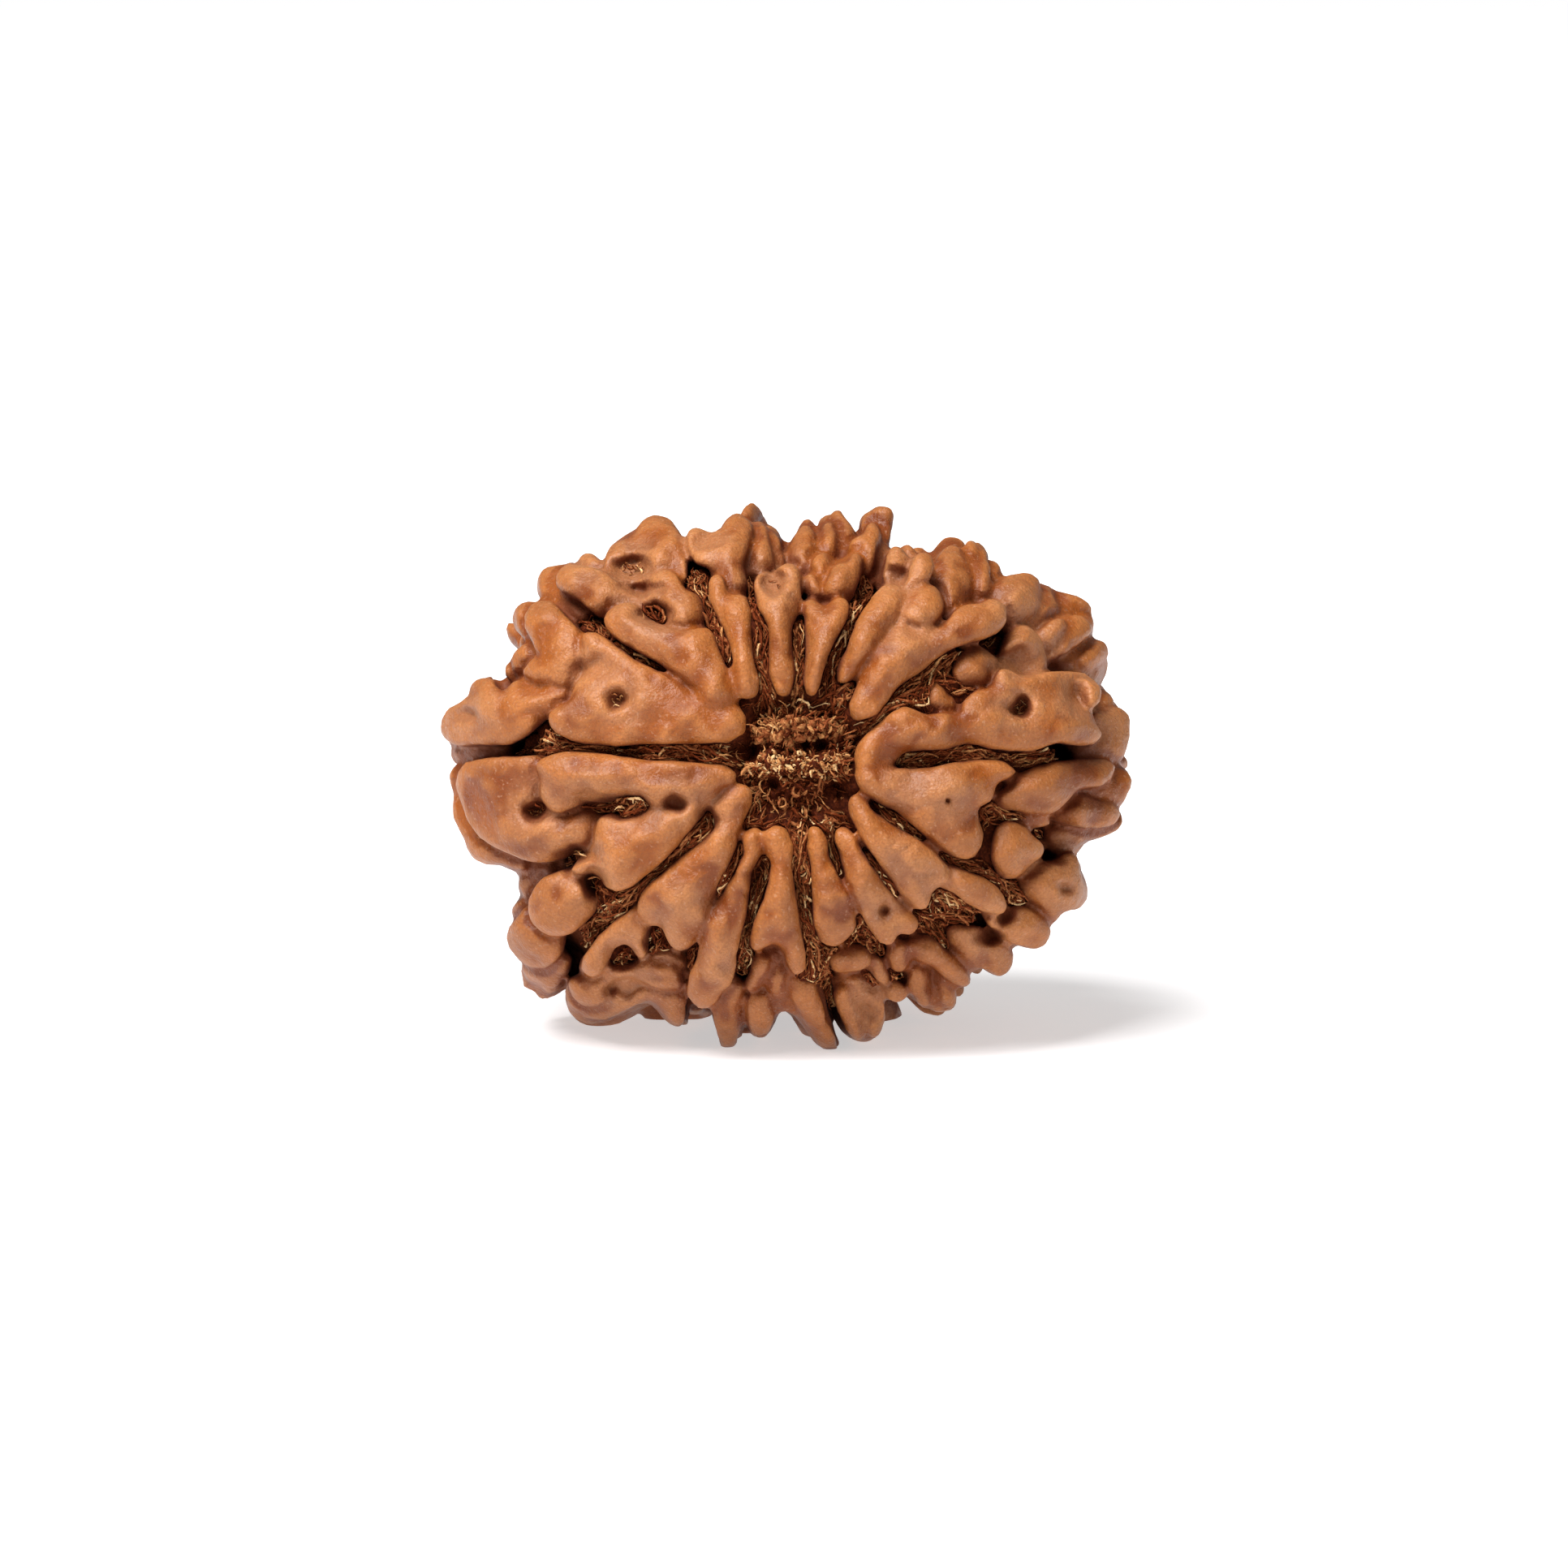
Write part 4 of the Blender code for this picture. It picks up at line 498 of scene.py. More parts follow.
# Hollows in the lobes: x, z, half width, half height, depth and how far the face there lies
# below the crown surface
HOLLOWS = (
    (-0.62, 9.5, 0.50, 0.52, 1.7, 0.0),      # round cup left of the top
    (-4.1, 11.65, 0.40, 0.38, 0.7, 0.9),     # small cup on the next rib
    (-7.5, 10.35, 0.85, 0.50, 2.0, 1.2),     # recess under the summit
    (-7.1, 9.35, 0.90, 0.28, 1.2, 1.0),
    (-6.5, 8.0, 0.62, 0.42, 1.8, 0.5),       # fibre cup under the pale web
    (-9.75, 10.55, 0.16, 0.16, 0.8, 3.0),
    (-8.2, 3.85, 0.45, 0.50, 1.3, 0.0),      # curl of the ten o'clock plate
    (-9.3, 5.5, 0.75, 0.45, 0.7, 0.3),
    (-15.4, 3.2, 0.42, 0.28, 1.3, 0.9),
    (-7.9, -1.25, 1.15, 0.45, 2.0, 0.0),     # slots of the double bar
    (-9.4, -0.85, 0.60, 0.28, 1.0, 0.0),
    (-5.35, -1.15, 0.45, 0.32, 1.3, 0.0),
    (-12.2, -1.5, 0.55, 0.42, 1.7, 0.9),
    (-10.1, -3.6, 0.80, 0.45, 1.8, 0.8),
    (-9.3, -5.0, 0.50, 0.50, 2.0, 0.6),
    (-3.75, -1.9, 0.42, 0.42, 1.2, 0.2),
    (-6.4, -7.6, 0.40, 0.55, 2.0, 0.3),
    (-7.9, -8.6, 0.75, 0.55, 1.6, 1.9),
    (-7.9, -10.1, 0.85, 0.35, 1.0, 2.1),
    (-4.85, -5.95, 0.14, 0.14, 0.6, 0.2),
    (-2.95, -8.95, 0.26, 0.16, 0.7, 0.2),
    (4.75, -6.2, 0.30, 0.28, 1.0, 0.2),      # pinholes and cups of the lower right
    (5.35, -3.8, 0.20, 0.18, 0.7, 0.0),
    (6.8, -4.5, 0.75, 0.20, 1.0, 0.0),
    (7.3, -5.9, 0.35, 0.60, 1.5, 0.0),
    (4.2, -10.9, 0.36, 0.80, 1.0, 2.2),
    (9.9, -7.5, 0.60, 0.35, 1.2, 1.6),
    (13.6, -5.3, 0.32, 0.28, 1.1, 1.5),
    (10.7, -6.6, 0.30, 0.30, 0.8, 1.0),
    (13.0, -3.85, 0.80, 0.26, 0.9, 1.8),
    (5.65, -0.4, 0.15, 0.13, 0.5, 0.0),
    (6.5, -0.5, 0.17, 0.13, 0.5, 0.0),
    (7.75, -0.95, 0.26, 0.24, 0.9, 0.0),
    (11.35, 3.5, 0.52, 0.50, 2.0, 0.0),      # eye of the two o'clock plate
    (14.2, 4.15, 0.50, 0.62, 1.0, 0.0),
    (16.0, 2.65, 0.14, 0.12, 0.5, 2.9),
    (11.3, 5.9, 0.75, 0.55, 0.9, 1.3),
    (11.2, 8.3, 0.50, 0.20, 0.6, 2.3),
    (6.1, 7.35, 0.42, 0.34, 0.6, 0.0),
    (5.4, 9.95, 0.38, 0.42, 0.8, 1.1),
    (12.6, 6.5, 0.22, 0.30, 0.8, 1.4),
)


def crown_level(x, z):
    """Distance from the equator's plane to the crown surface over a point of the drawing."""
    left = 1.0 - abs(x / CROWN[0]) ** CROWN_POWER - abs(z / CROWN[2]) ** CROWN_POWER
    near = math.hypot(x - POLE[0], z - POLE[1]) / POLE_SINK_REACH
    level = CROWN[1] * max(left, LEAST_SHARE) ** (1.0 / CROWN_POWER)
    return level - POLE_SINK * math.exp(-near * near)


def rounded_box_reach(way, halves, power):
    """Distance from the middle of a rounded box to its surface in a direction."""
    total = sum(abs(way[k] / halves[k]) ** power for k in range(3))
    return total ** (-1.0 / power)


def crown_reach(way):
    """Distance from the seed's middle to the crown surface in a direction."""
    return rounded_box_reach(way, CROWN, CROWN_POWER)


def edge_distance(points, rim):
    """Distance in the drawing from each point to the nearest side of a closed outline."""
    sides = np.roll(rim, -1, axis=0) - rim
    away = points[:, None, :] - rim[None, :, :]
    along = (away * sides).sum(axis=2) / np.maximum((sides * sides).sum(axis=1), 1e-9)
    away -= np.clip(along, 0.0, 1.0)[:, :, None] * sides
    return np.sqrt((away * away).sum(axis=2).min(axis=1))


def inside(points, rim):
    """Whether each point lies inside a closed outline."""
    following = np.roll(rim, -1, axis=0)
    x, z = points[:, None, 0], points[:, None, 1]
    crosses = (rim[:, 1] > z) != (following[:, 1] > z)
    slope = (following[:, 0] - rim[:, 0]) / np.where(following[:, 1] == rim[:, 1], 1e-9,
                                                     following[:, 1] - rim[:, 1])
    left = x < rim[:, 0] + (z - rim[:, 1]) * slope
    return (crosses & left).sum(axis=1) % 2 == 1


def distance_outside(points, rim):
    """Distance from each point to a closed outline, none for the points inside it."""
    far = edge_distance(points, rim)
    far[inside(points, rim)] = 0.0
    return far


def smooth(share, height=1.0):
    """A share eased at both ends, times a height."""
    return height * share * share * (3.0 - 2.0 * share)


def arch(share, height=1.0):
    """Height along an arch, from its one end to its other."""
    return height * 4.0 * share * (1.0 - share)


def rounding(distance):
    """How much the face falls away at this distance from the outline."""
    inner = 1.0 - np.minimum(distance / SHOWN_EDGE_ROUND, 1.0)
    side = 1.0 - np.minimum(distance / DOME_REACH, 1.0)
    deep = np.clip((distance - DISH_REACH[0]) / (DISH_REACH[1] - DISH_REACH[0]), 0.0, 1.0)
    return (SHOWN_EDGE_ROUND * (1.0 - np.sqrt(1.0 - inner * inner)) + DOME * side ** DOME_CURVE
            + smooth(deep, DISH))


def outline_mesh(outline):
    """A flat plate, one unit thick, with a smooth closed outline."""
    curve = bpy.data.curves.new("outline", "CURVE")
    curve.dimensions = "2D"
    curve.fill_mode = "BOTH"
    curve.extrude = 0.5
    curve.resolution_u = CURVE_STEPS
    spline = curve.splines.new("BEZIER")
    spline.bezier_points.add(len(outline) - 1)
    for point, (x, z) in zip(spline.bezier_points, outline):
        point.co = (x, z, 0.0)
        point.handle_left_type = "AUTO"
        point.handle_right_type = "AUTO"
    spline.use_cyclic_u = True
    plate = bpy.data.objects.new("outline", curve)
    bpy.context.scene.collection.objects.link(plate)
    shapes = bpy.context.evaluated_depsgraph_get()
    flat = bpy.data.meshes.new_from_object(plate.evaluated_get(shapes))
    mesh = bmesh.new()
    mesh.from_mesh(flat)
    bpy.data.objects.remove(plate)
    bpy.data.curves.remove(curve)
    bpy.data.meshes.remove(flat)
    bmesh.ops.remove_doubles(mesh, verts=mesh.verts, dist=WELD)
    return mesh


def cut_into_cells(mesh, cell):
    """Add points along a square grid, so that the face can be bent."""
    for axis in (0, 1):
        places = [v.co[axis] for v in mesh.verts]
        normal = Vector((1.0 - axis, axis, 0.0))
        for step in range(math.ceil(min(places) / cell), math.floor(max(places) / cell) + 1):
            bmesh.ops.bisect_plane(mesh, geom=mesh.verts[:] + mesh.edges[:] + mesh.faces[:],
                                   plane_co=normal * (step * cell), plane_no=normal, dist=ON_CUT)


def ordered_rim(mesh):
    """The outline's points in order, read from the edges of the front face's border."""
    border = {}
    for edge in mesh.edges:
        high = all(v.co.z > 0.0 for v in edge.verts)
        if high and any(abs(f.normal.z) < STEEP for f in edge.link_faces):
            for a, b in (edge.verts, reversed(edge.verts)):
                border.setdefault(a, []).append(b)
    start = next(iter(border))
    rim = [start]
    while True:
        following = [v for v in border[rim[-1]] if v not in rim[-2:]]
        if not following or following[0] is start:
            break
        rim.append(following[0])
    return np.array([v.co.xy for v in rim])


class Lobe:
    """One lobe: its outline's plate, how far it lies below the crown and where its back is."""

    def __init__(self, outline, drop, back, level=None, rise=0.0):
        self.mesh = outline_mesh(outline)
        self.mesh.normal_update()
        self.rim = ordered_rim(self.mesh)
        self.drop = drop
        self.back = back
        self.level = level
        self.rise = rise

    def shape(self, others):
        """Its closed body: the rounded face to the front, lowered beside lobes that lie on it."""
        cut_into_cells(self.mesh, CELL)
        points = np.array([v.co.xy for v in self.mesh.verts])
        fall = edge_distance(points, self.rim)
        widest = max(fall.max(), CELL)
        fall = rounding(fall) + ROOF * min(widest, 1.0) * (1.0 - fall / widest)
        moat = np.zeros(len(points))
        low, high = self.rim.min(axis=0) - DIVE_WIDTH, self.rim.max(axis=0) + DIVE_WIDTH
        for other in others:
            above = self.drop - self.rise - other.drop + other.rise
            if above < LEAST_ABOVE:
                continue
            if (other.rim.max(axis=0) < low).any() or (other.rim.min(axis=0) > high).any():
                continue
            far = distance_outside(points, other.rim)
            near = 1.0 - np.minimum(far / DIVE_WIDTH, 1.0)
            beside = 1.0 - np.minimum(far / CREVICE_WIDTH, 1.0)
            moat = np.maximum(moat, DIVE * min(above / WELL_ABOVE, 1.0) * near ** DIVE_CURVE
                              + CREVICE * min(above / JUST_ABOVE, 1.0) * beside)
        for vert, (x, z), fallen, sunk in zip(self.mesh.verts, points, fall, moat):
            face = crown_level(x, z) - self.drop if self.level is None else self.level
            if self.back is None:
                behind = face - LOBE_DEPTH
            else:
                behind = self.back
                face = max(face, behind + THINNEST)
            face += self.rise
            if vert.co.z > 0.0:
                vert.co = (x, min(fallen + sunk - face, -behind - LEAST_PLATE), z)
            else:
                vert.co = (x, -behind - min(fallen, SHOWN_EDGE_ROUND), z)
        return self.mesh


def mirror(body):
    """Turn a closed body to the other side of the equator."""
    bmesh.ops.scale(body, vec=(1.0, -1.0, 1.0), verts=body.verts)
    bmesh.ops.reverse_faces(body, faces=body.faces)


def add_body(target, body, mirrored=False):
    """Put a closed body into the growing mesh, turned to the back half if it is mirrored."""
    if mirrored:
        mirror(body)
    piece = bpy.data.meshes.new("body")
    body.to_mesh(piece)
    body.free()
    target.from_mesh(piece)
    bpy.data.meshes.remove(piece)


def back_outline(outline, rng):
    """The outline's like on the hidden half: the same sector, drawn a little otherwise."""
    turn = math.radians(rng.uniform(-BACK_TURN_DEG, BACK_TURN_DEG))
    stretch = rng.uniform(*BACK_SCALE)
    sways, sway_start = BACK_SWAY_WAVES
    swells, swell_start, lean = BACK_SWELL_WAVES
    points = []
    for x, z in outline:
        angle = math.atan2(z, x)
        far = math.hypot(x, z)
        angle += turn + math.radians(BACK_SWAY_DEG) * math.sin(sways * angle + sway_start)
        far *= stretch * (1.0 + BACK_SWELL * math.sin(swells * angle + swell_start + lean * far))
        points.append((far * math.cos(angle), far * math.sin(angle)))
    return points


def belt_outline(outline, rng):
    """A rim lobe's like for the belt round the equator."""
    turn = math.radians(rng.uniform(-BELT_TURN_DEG, BELT_TURN_DEG))
    stretch = rng.uniform(*BELT_SCALE)
    points = []
    for x, z in outline:
        points.append((stretch * (x * math.cos(turn) - z * math.sin(turn)),
                       stretch * (x * math.sin(turn) + z * math.cos(turn))))
    return points


def core_body():
    """The woody body: a rounded box with a slightly uneven surface."""
    body = bmesh.new()
    bmesh.ops.create_uvsphere(body, u_segments=CORE_SEGMENTS[0], v_segments=CORE_SEGMENTS[1],
                              radius=1.0)
    for vert in body.verts:
        way = vert.co.normalized()
        reach = rounded_box_reach(way, CORE, CORE_POWER)
        vert.co = way * (reach + CORE_LUMPS * noise.noise(way * CORE_LUMP_SPREAD))
    return body


def egg(place, radii, subdivisions):
    """A ball stretched along the axes."""
    body = bmesh.new()
    bmesh.ops.create_icosphere(body, subdivisions=subdivisions, radius=1.0)
    bmesh.ops.scale(body, vec=radii, verts=body.verts)
    bmesh.ops.translate(body, vec=place, verts=body.verts)
    return body


def mesh_object(name, mesh):
    """A new object that holds this mesh."""
    data = bpy.data.meshes.new(name)
    mesh.to_mesh(data)
    mesh.free()
    item = bpy.data.objects.new(name, data)
    bpy.context.scene.collection.objects.link(item)
    return item


def take_up(item):
    """Make this the only selected object and the active one."""
    bpy.ops.object.select_all(action="DESELECT")
    item.select_set(True)
    bpy.context.view_layer.objects.active = item


def apply_new(item, kind, **settings):
    """Give an object a modifier with these settings and apply it."""
    take_up(item)
    bpy.ops.object.modifier_add(type=kind)
    modifier = item.modifiers[-1]
    for name, value in settings.items():
        setattr(modifier, name, value)
    bpy.ops.object.modifier_apply(modifier=modifier.name)


def cut_away(item, cutter):
    """Cut one object's shape out of another and drop the cutter."""
    apply_new(item, "BOOLEAN", object=cutter, operation="DIFFERENCE", solver="MANIFOLD")
    bpy.data.objects.remove(cutter)


def roughen(item):
    """Bend the hidden half's straight walls, raise knobs along the sides and dent the faces."""
    for vert in item.data.vertices:
        place = vert.co.copy()
        side = (place.y - SIDE_START) / (SIDE_FULL - SIDE_START)
        side = min(max(side, 0.0), 1.0)
        outward = Vector((place.x, 0.0, place.z)).normalized()
        knob = noise.noise(place / KNOB_SPACING) * KNOB_RISE
        dent = noise.noise(place / DENT_SPACING) * DENT
        vert.co += noise.noise_vector(place / BEND_SPACING) * BEND * side
        vert.co += outward * knob * side
        vert.co += place.normalized() * dent * (1.0 - side)


def relief(x, side, z):
    """How far a place on the faces lies below their plain level."""
    far = math.hypot(x - POLE[0], z - POLE[1])
    around = math.atan2(z - POLE[1], x - POLE[0])
    spot = Vector((x, FACES_APART * side, z))
    ray = Vector((math.cos(around) * RIB_TURNS, math.sin(around) * RIB_TURNS,
                  far / RIB_LENGTH + RIBS_APART * side))
    crease = min(abs(noise.noise(spot / CREASE_SPACING)) * CREASE_SHARPNESS, 1.0) - CREASE_MEAN
    fold = max(1.0 - KNUCKLE_SHARPNESS * abs(noise.noise(spot / KNUCKLE_SPACING)), 0.0)
    return (CREASE * crease + KNUCKLE * (fold * fold - KNUCKLE_MEAN)
            - RELIEF * noise.noise(spot / RELIEF_SPACING) - RIBS * noise.noise(ray))


def read_rows(parts, name, width, kind=float):
    """One property of a mesh's points or edges, as rows of numbers."""
    values = np.zeros(len(parts) * width, dtype=kind)
    parts.foreach_get(name, values)
    return values.reshape(-1, width)


def keep_on(mesh, name, values):
    """Keep a value for each point on a mesh, for its finish to read."""
    kept = mesh.attributes.new(name, "FLOAT", "POINT")
    kept.data.foreach_set("value", values)


def off_middle(spots, x, z, wide, high):
    """How far places of the drawing are from a middle, in half sizes and squared."""
    return ((spots[:, 0] - x) / wide) ** 2 + ((spots[:, 1] - z) / high) ** 2


def carve_faces(item):
    """Give the faces their swells, ribs and creases, and each hollow its rounded mouth."""
    mesh = item.data
    places = read_rows(mesh.vertices, "co", 3)
    share = np.clip((np.abs(places[:, 1]) - FACE_START) / (FACE_FULL - FACE_START), 0.0, 1.0)
    sink = np.zeros(len(places))
    bent = places[:, (0, 2)].copy()
    for k, (x, y, z) in enumerate(places):
        sink[k] = relief(x, math.copysign(1.0, y), z)
        stray = noise.noise_vector(Vector((x, 0.0, z)) / HOLLOW_STRAY_SPACING)
        bent[k] += (HOLLOW_STRAY * stray.x, HOLLOW_STRAY * stray.z)
    for x, z, wide, high, depth, _ in HOLLOWS:
        far = off_middle(bent, x, z, wide + FUNNEL_REACH * min(1.0, wide / FUNNEL_FULL),
                         high + FUNNEL_REACH * min(1.0, high / FUNNEL_FULL))
        sink += FUNNEL * min(1.0, min(wide, high) / FUNNEL_FULL) * np.exp(-far)
        if min(wide, high) > PINHOLE:
            far = off_middle(bent, x, z, BOWL * wide, BOWL * high)
            sink += BOWL_DEPTH * depth * np.exp(-far * far)
    places[:, 1] -= np.sign(places[:, 1]) * smooth(share) * sink
    mesh.vertices.foreach_set("co", places.ravel())
    mesh.update()


def push_out(item, amounts):
    """Move each point of a piece along its normal."""
    shifts = [v.normal * amount for v, amount in zip(item.data.vertices, amounts)]
    for vert, shift in zip(item.data.vertices, shifts):
        vert.co += shift


def pebble(item):
    """A fine unevenness along the surface's normals, and a coarser one round the equator."""
    amounts = []
    for vert in item.data.vertices:
        side = max(1.0 - abs(vert.co.y) / FACE_FULL, 0.0)
        amount = noise.noise(vert.co / PEBBLE_SPACING) * PEBBLE
        amounts.append(amount + noise.noise(vert.co / SIDE_LUMP_SPACING) * SIDE_LUMPS * side)
    push_out(item, amounts)


def plan_lobes():
    """The lobes of the front half, the back half and the belt, with the solid's random draws."""
    rng = random.Random(SEED)
    front, hidden, belt = [], [], []
    for drop, outline in LOBES:
        at_rim = max(math.hypot(x / CROWN[0], z / CROWN[2]) for x, z in outline) > RIM_REACH
        back = rng.uniform(*RIM_BACK) if at_rim else None
        front.append(Lobe(outline, drop, back))
        back = rng.uniform(*RIM_BACK) if at_rim else None
        hidden.append(Lobe(back_outline(outline, rng), drop, back))
        if at_rim:
            level = 0.5 * BELT_DEPTH + rng.uniform(-BELT_SHIFT, BELT_SHIFT)
            belt.append(Lobe(belt_outline(outline, rng), 0.0, level - BELT_DEPTH, level))
    return front, hidden, belt


def add_fingers(lobes):
    """Small fingers, each on the highest lobe that lies under its middle."""
    for outline in FINGERS:
        middle = np.array([np.mean(outline, axis=0)])
        hosts = [one for one in lobes if inside(middle, one.rim)[0]]
        host = min(hosts, key=lambda one: one.drop)
        lobes.append(Lobe(outline, host.drop, host.back, rise=FINGER_RISE))


def grow_stone():
    """Fuse the core and all the lobes into one body and cut its hollows."""
    grown = bmesh.new()
    add_body(grown, core_body())
    front, hidden, belt = plan_lobes()
    add_fingers(front)
    for one in front:
        add_body(grown, one.shape(front))
    for one in hidden:
        add_body(grown, one.shape(hidden), mirrored=True)
    for one in belt:
        add_body(grown, one.shape(()))
    for place in REST_KNOBS:
        add_body(grown, egg(place, REST_RADIUS, EGG_FINENESS))
    stone = mesh_object("woody_stone", grown)
    apply_new(stone, "REMESH", mode="VOXEL", voxel_size=VOXEL)
    roughen(stone)

    eggs = bmesh.new()
    for x, z, wide, high, depth, drop in HOLLOWS:
        if min(wide, high) <= PINHOLE:
            place = (x, drop - crown_level(x, z), z)
            add_body(eggs, egg(place, (wide, depth, high), EGG_FINENESS))
    cut_away(stone, mesh_object("hollows", eggs))
    pits = bmesh.new()
    for side in (-1, 1):
        place = (POLE[0], side * PIT_LEVEL, POLE[1])
        add_body(pits, egg(place, PIT_RADIUS, PIT_FINENESS))
    cut_away(stone, mesh_object("pole_pits", pits))
    carve_faces(stone)
    push_out(stone, [SWELL] * len(stone.data.vertices))
    apply_new(stone, "REMESH", mode="VOXEL", voxel_size=VOXEL)
    apply_new(stone, "SMOOTH", factor=SMOOTH_SHARE, iterations=SMOOTH_ROUNDS)
    stone.data.calc_loop_triangles()
    share = STONE_TRIANGLES / len(stone.data.loop_triangles)
    apply_new(stone, "DECIMATE", ratio=share, use_collapse_triangulate=True)
    pebble(stone)
    return stone, front, hidden


def mat_reach(way):
    """Distance from the seed's middle to the fibre mat's surface in a direction."""
    share = MAT_DEPTH + MAT_RIM_DEPTH * (1.0 - abs(way.y)) ** MAT_RIM_CURVE
    reach = crown_reach(way) * (1.0 - share)
    place = way * reach
    off_pole = math.hypot(place.x - POLE[0], place.z - POLE[1]) / POLE_SINK_REACH
    around = math.atan2(place.z - POLE[1], place.x - POLE[0])
    spread = MAT_SHRED_SPREAD
    shreds = noise.noise(Vector((around * spread[0], place.y * spread[1], off_pole * spread[2])))
    lumps = noise.noise(place / MAT_LUMP_SPACING)
    return (reach + MAT_LUMPS * lumps + MAT_SHREDS * shreds
            - MAT_POLE_SINK * math.exp(-off_pole * off_pole))


def drop_near(points, lobes):
    """The drop of the lowest lobe beside each point of the drawing."""
    lowest = np.zeros(len(points))
    for one in lobes:
        far = distance_outside(points, one.rim)
        near = np.clip(MAT_NEIGHBOUR_GAIN * (1.0 - far / MAT_NEIGHBOURS), 0.0, 1.0)
        lowest = np.maximum(lowest, one.drop * near)
    return lowest


def walled_in(place, tree):
    """The share of the ways along the surface in which a wall of the stone stands near."""
    way = place.normalized()
    across = way.orthogonal().normalized()
    walls = 0
    for k in range(LOOK_ROUND):
        turned = Matrix.Rotation(2.0 * math.pi * k / LOOK_ROUND, 3, way) @ across
        if tree.ray_cast(place, turned, WALL_REACH)[0] is not None:
            walls += 1
    return walls / LOOK_ROUND


def lay_fibre_mat(stone, front, hidden):
    """The mat of old fibre that fills the grooves from below."""
    bpy.ops.object.select_all(action="DESELECT")
    bpy.ops.mesh.primitive_ico_sphere_add(subdivisions=MAT_FINENESS, radius=1.0)
    mat = bpy.context.object
    mat.name = "fibre_mat"
    ways = [v.co.normalized() for v in mat.data.vertices]
    reaches = [mat_reach(way) for way in ways]
    points = np.array([(way.x * reach, way.z * reach) for way, reach in zip(ways, reaches)])
    behind = np.array([way.y > 0.0 for way in ways])
    drops = np.where(behind, drop_near(points, hidden), drop_near(points, front))
    tree = surface_tree(stone)
    for vert, way, reach, drop in zip(mat.data.vertices, ways, reaches, drops):
        place = way * (reach - MAT_BELOW_LOBES * drop)
        bare = min(max(MAT_WALLED - walled_in(place, tree), 0.0) / MAT_BARE_RANGE, 1.0)
        vert.co = place - way * (MAT_BARE_SINK * bare)
    keep_on(mat.data, "tone", [MAT_TONE] * len(mat.data.vertices))
    return mat


def surface_tree(item):
    """A search tree of an object's faces."""
    mesh = item.data
    return BVHTree.FromPolygons([v.co for v in mesh.vertices], [p.vertices for p in mesh.polygons])


def spread_directions(count):
    """Directions spread evenly over the sphere."""
    golden = math.pi * (3.0 - math.sqrt(5.0))
    for k in range(count):
        height = 1.0 - (2.0 * k + 1.0) / count
        flat = math.sqrt(1.0 - height * height)
        yield Vector((flat * math.cos(golden * k), flat * math.sin(golden * k), height))


def read_shelter(item, tree):
    """For each point, how much of the sky over it is hidden by near parts of the stone."""
    directions = list(spread_directions(SKY_RAYS))
    shelter = np.zeros(len(item.data.vertices))
    for k, vert in enumerate(item.data.vertices):
        normal = vert.normal
        start = vert.co + normal * SKY_START
        seen = hidden = 0.0
        for way in directions:
            facing = normal.dot(way)
            if facing > SKY_LOWEST:
                seen += facing
                if tree.ray_cast(start, way, SKY_REACH)[0] is not None:
                    hidden += facing
        shelter[k] = hidden / max(seen, 1e-6)
    return shelter


def even_out(values, edges, rounds):
    """Average values or places with their neighbours' a number of times."""
    count = np.bincount(edges.ravel(), minlength=len(values)).astype(float)
    count = count.reshape((-1,) + (1,) * (values.ndim - 1))
    for _ in range(rounds):
        total = np.zeros_like(values)
        np.add.at(total, edges[:, 0], values[edges[:, 1]])
        np.add.at(total, edges[:, 1], values[edges[:, 0]])
        values = 0.5 * values + 0.5 * total / count
    return values


def read_surface(item, tree):
    """Keep on the mesh how sheltered and proud each point is, which set its painted shade and its
    partly painted highlight, and how near to a hollow.
    """
    mesh = item.data
    edges = read_rows(mesh.edges, "vertices", 2, np.int64)
    places = read_rows(mesh.vertices, "co", 3)
    normals = read_rows(mesh.vertices, "normal", 3)
    shelter = even_out(read_shelter(item, tree), edges, EVEN_ROUNDS)
    proud = ((places - even_out(places, edges, PROUD_ROUNDS)) * normals).sum(axis=1)
    proud = even_out(np.clip(proud / PROUD_HEIGHT, -1.0, 1.0), edges, EVEN_ROUNDS)
    frost = np.zeros(len(places))
    for x, z, wide, high, _, _ in HOLLOWS:
        off = off_middle(places[:, (0, 2)], x, z, wide + FROST_REACH, high + FROST_REACH)
        frost = np.maximum(frost, np.exp(-off))
    for name, values in (("shelter", shelter), ("proud", proud), ("frost", frost)):
        keep_on(mesh, name, values.astype(np.float32))


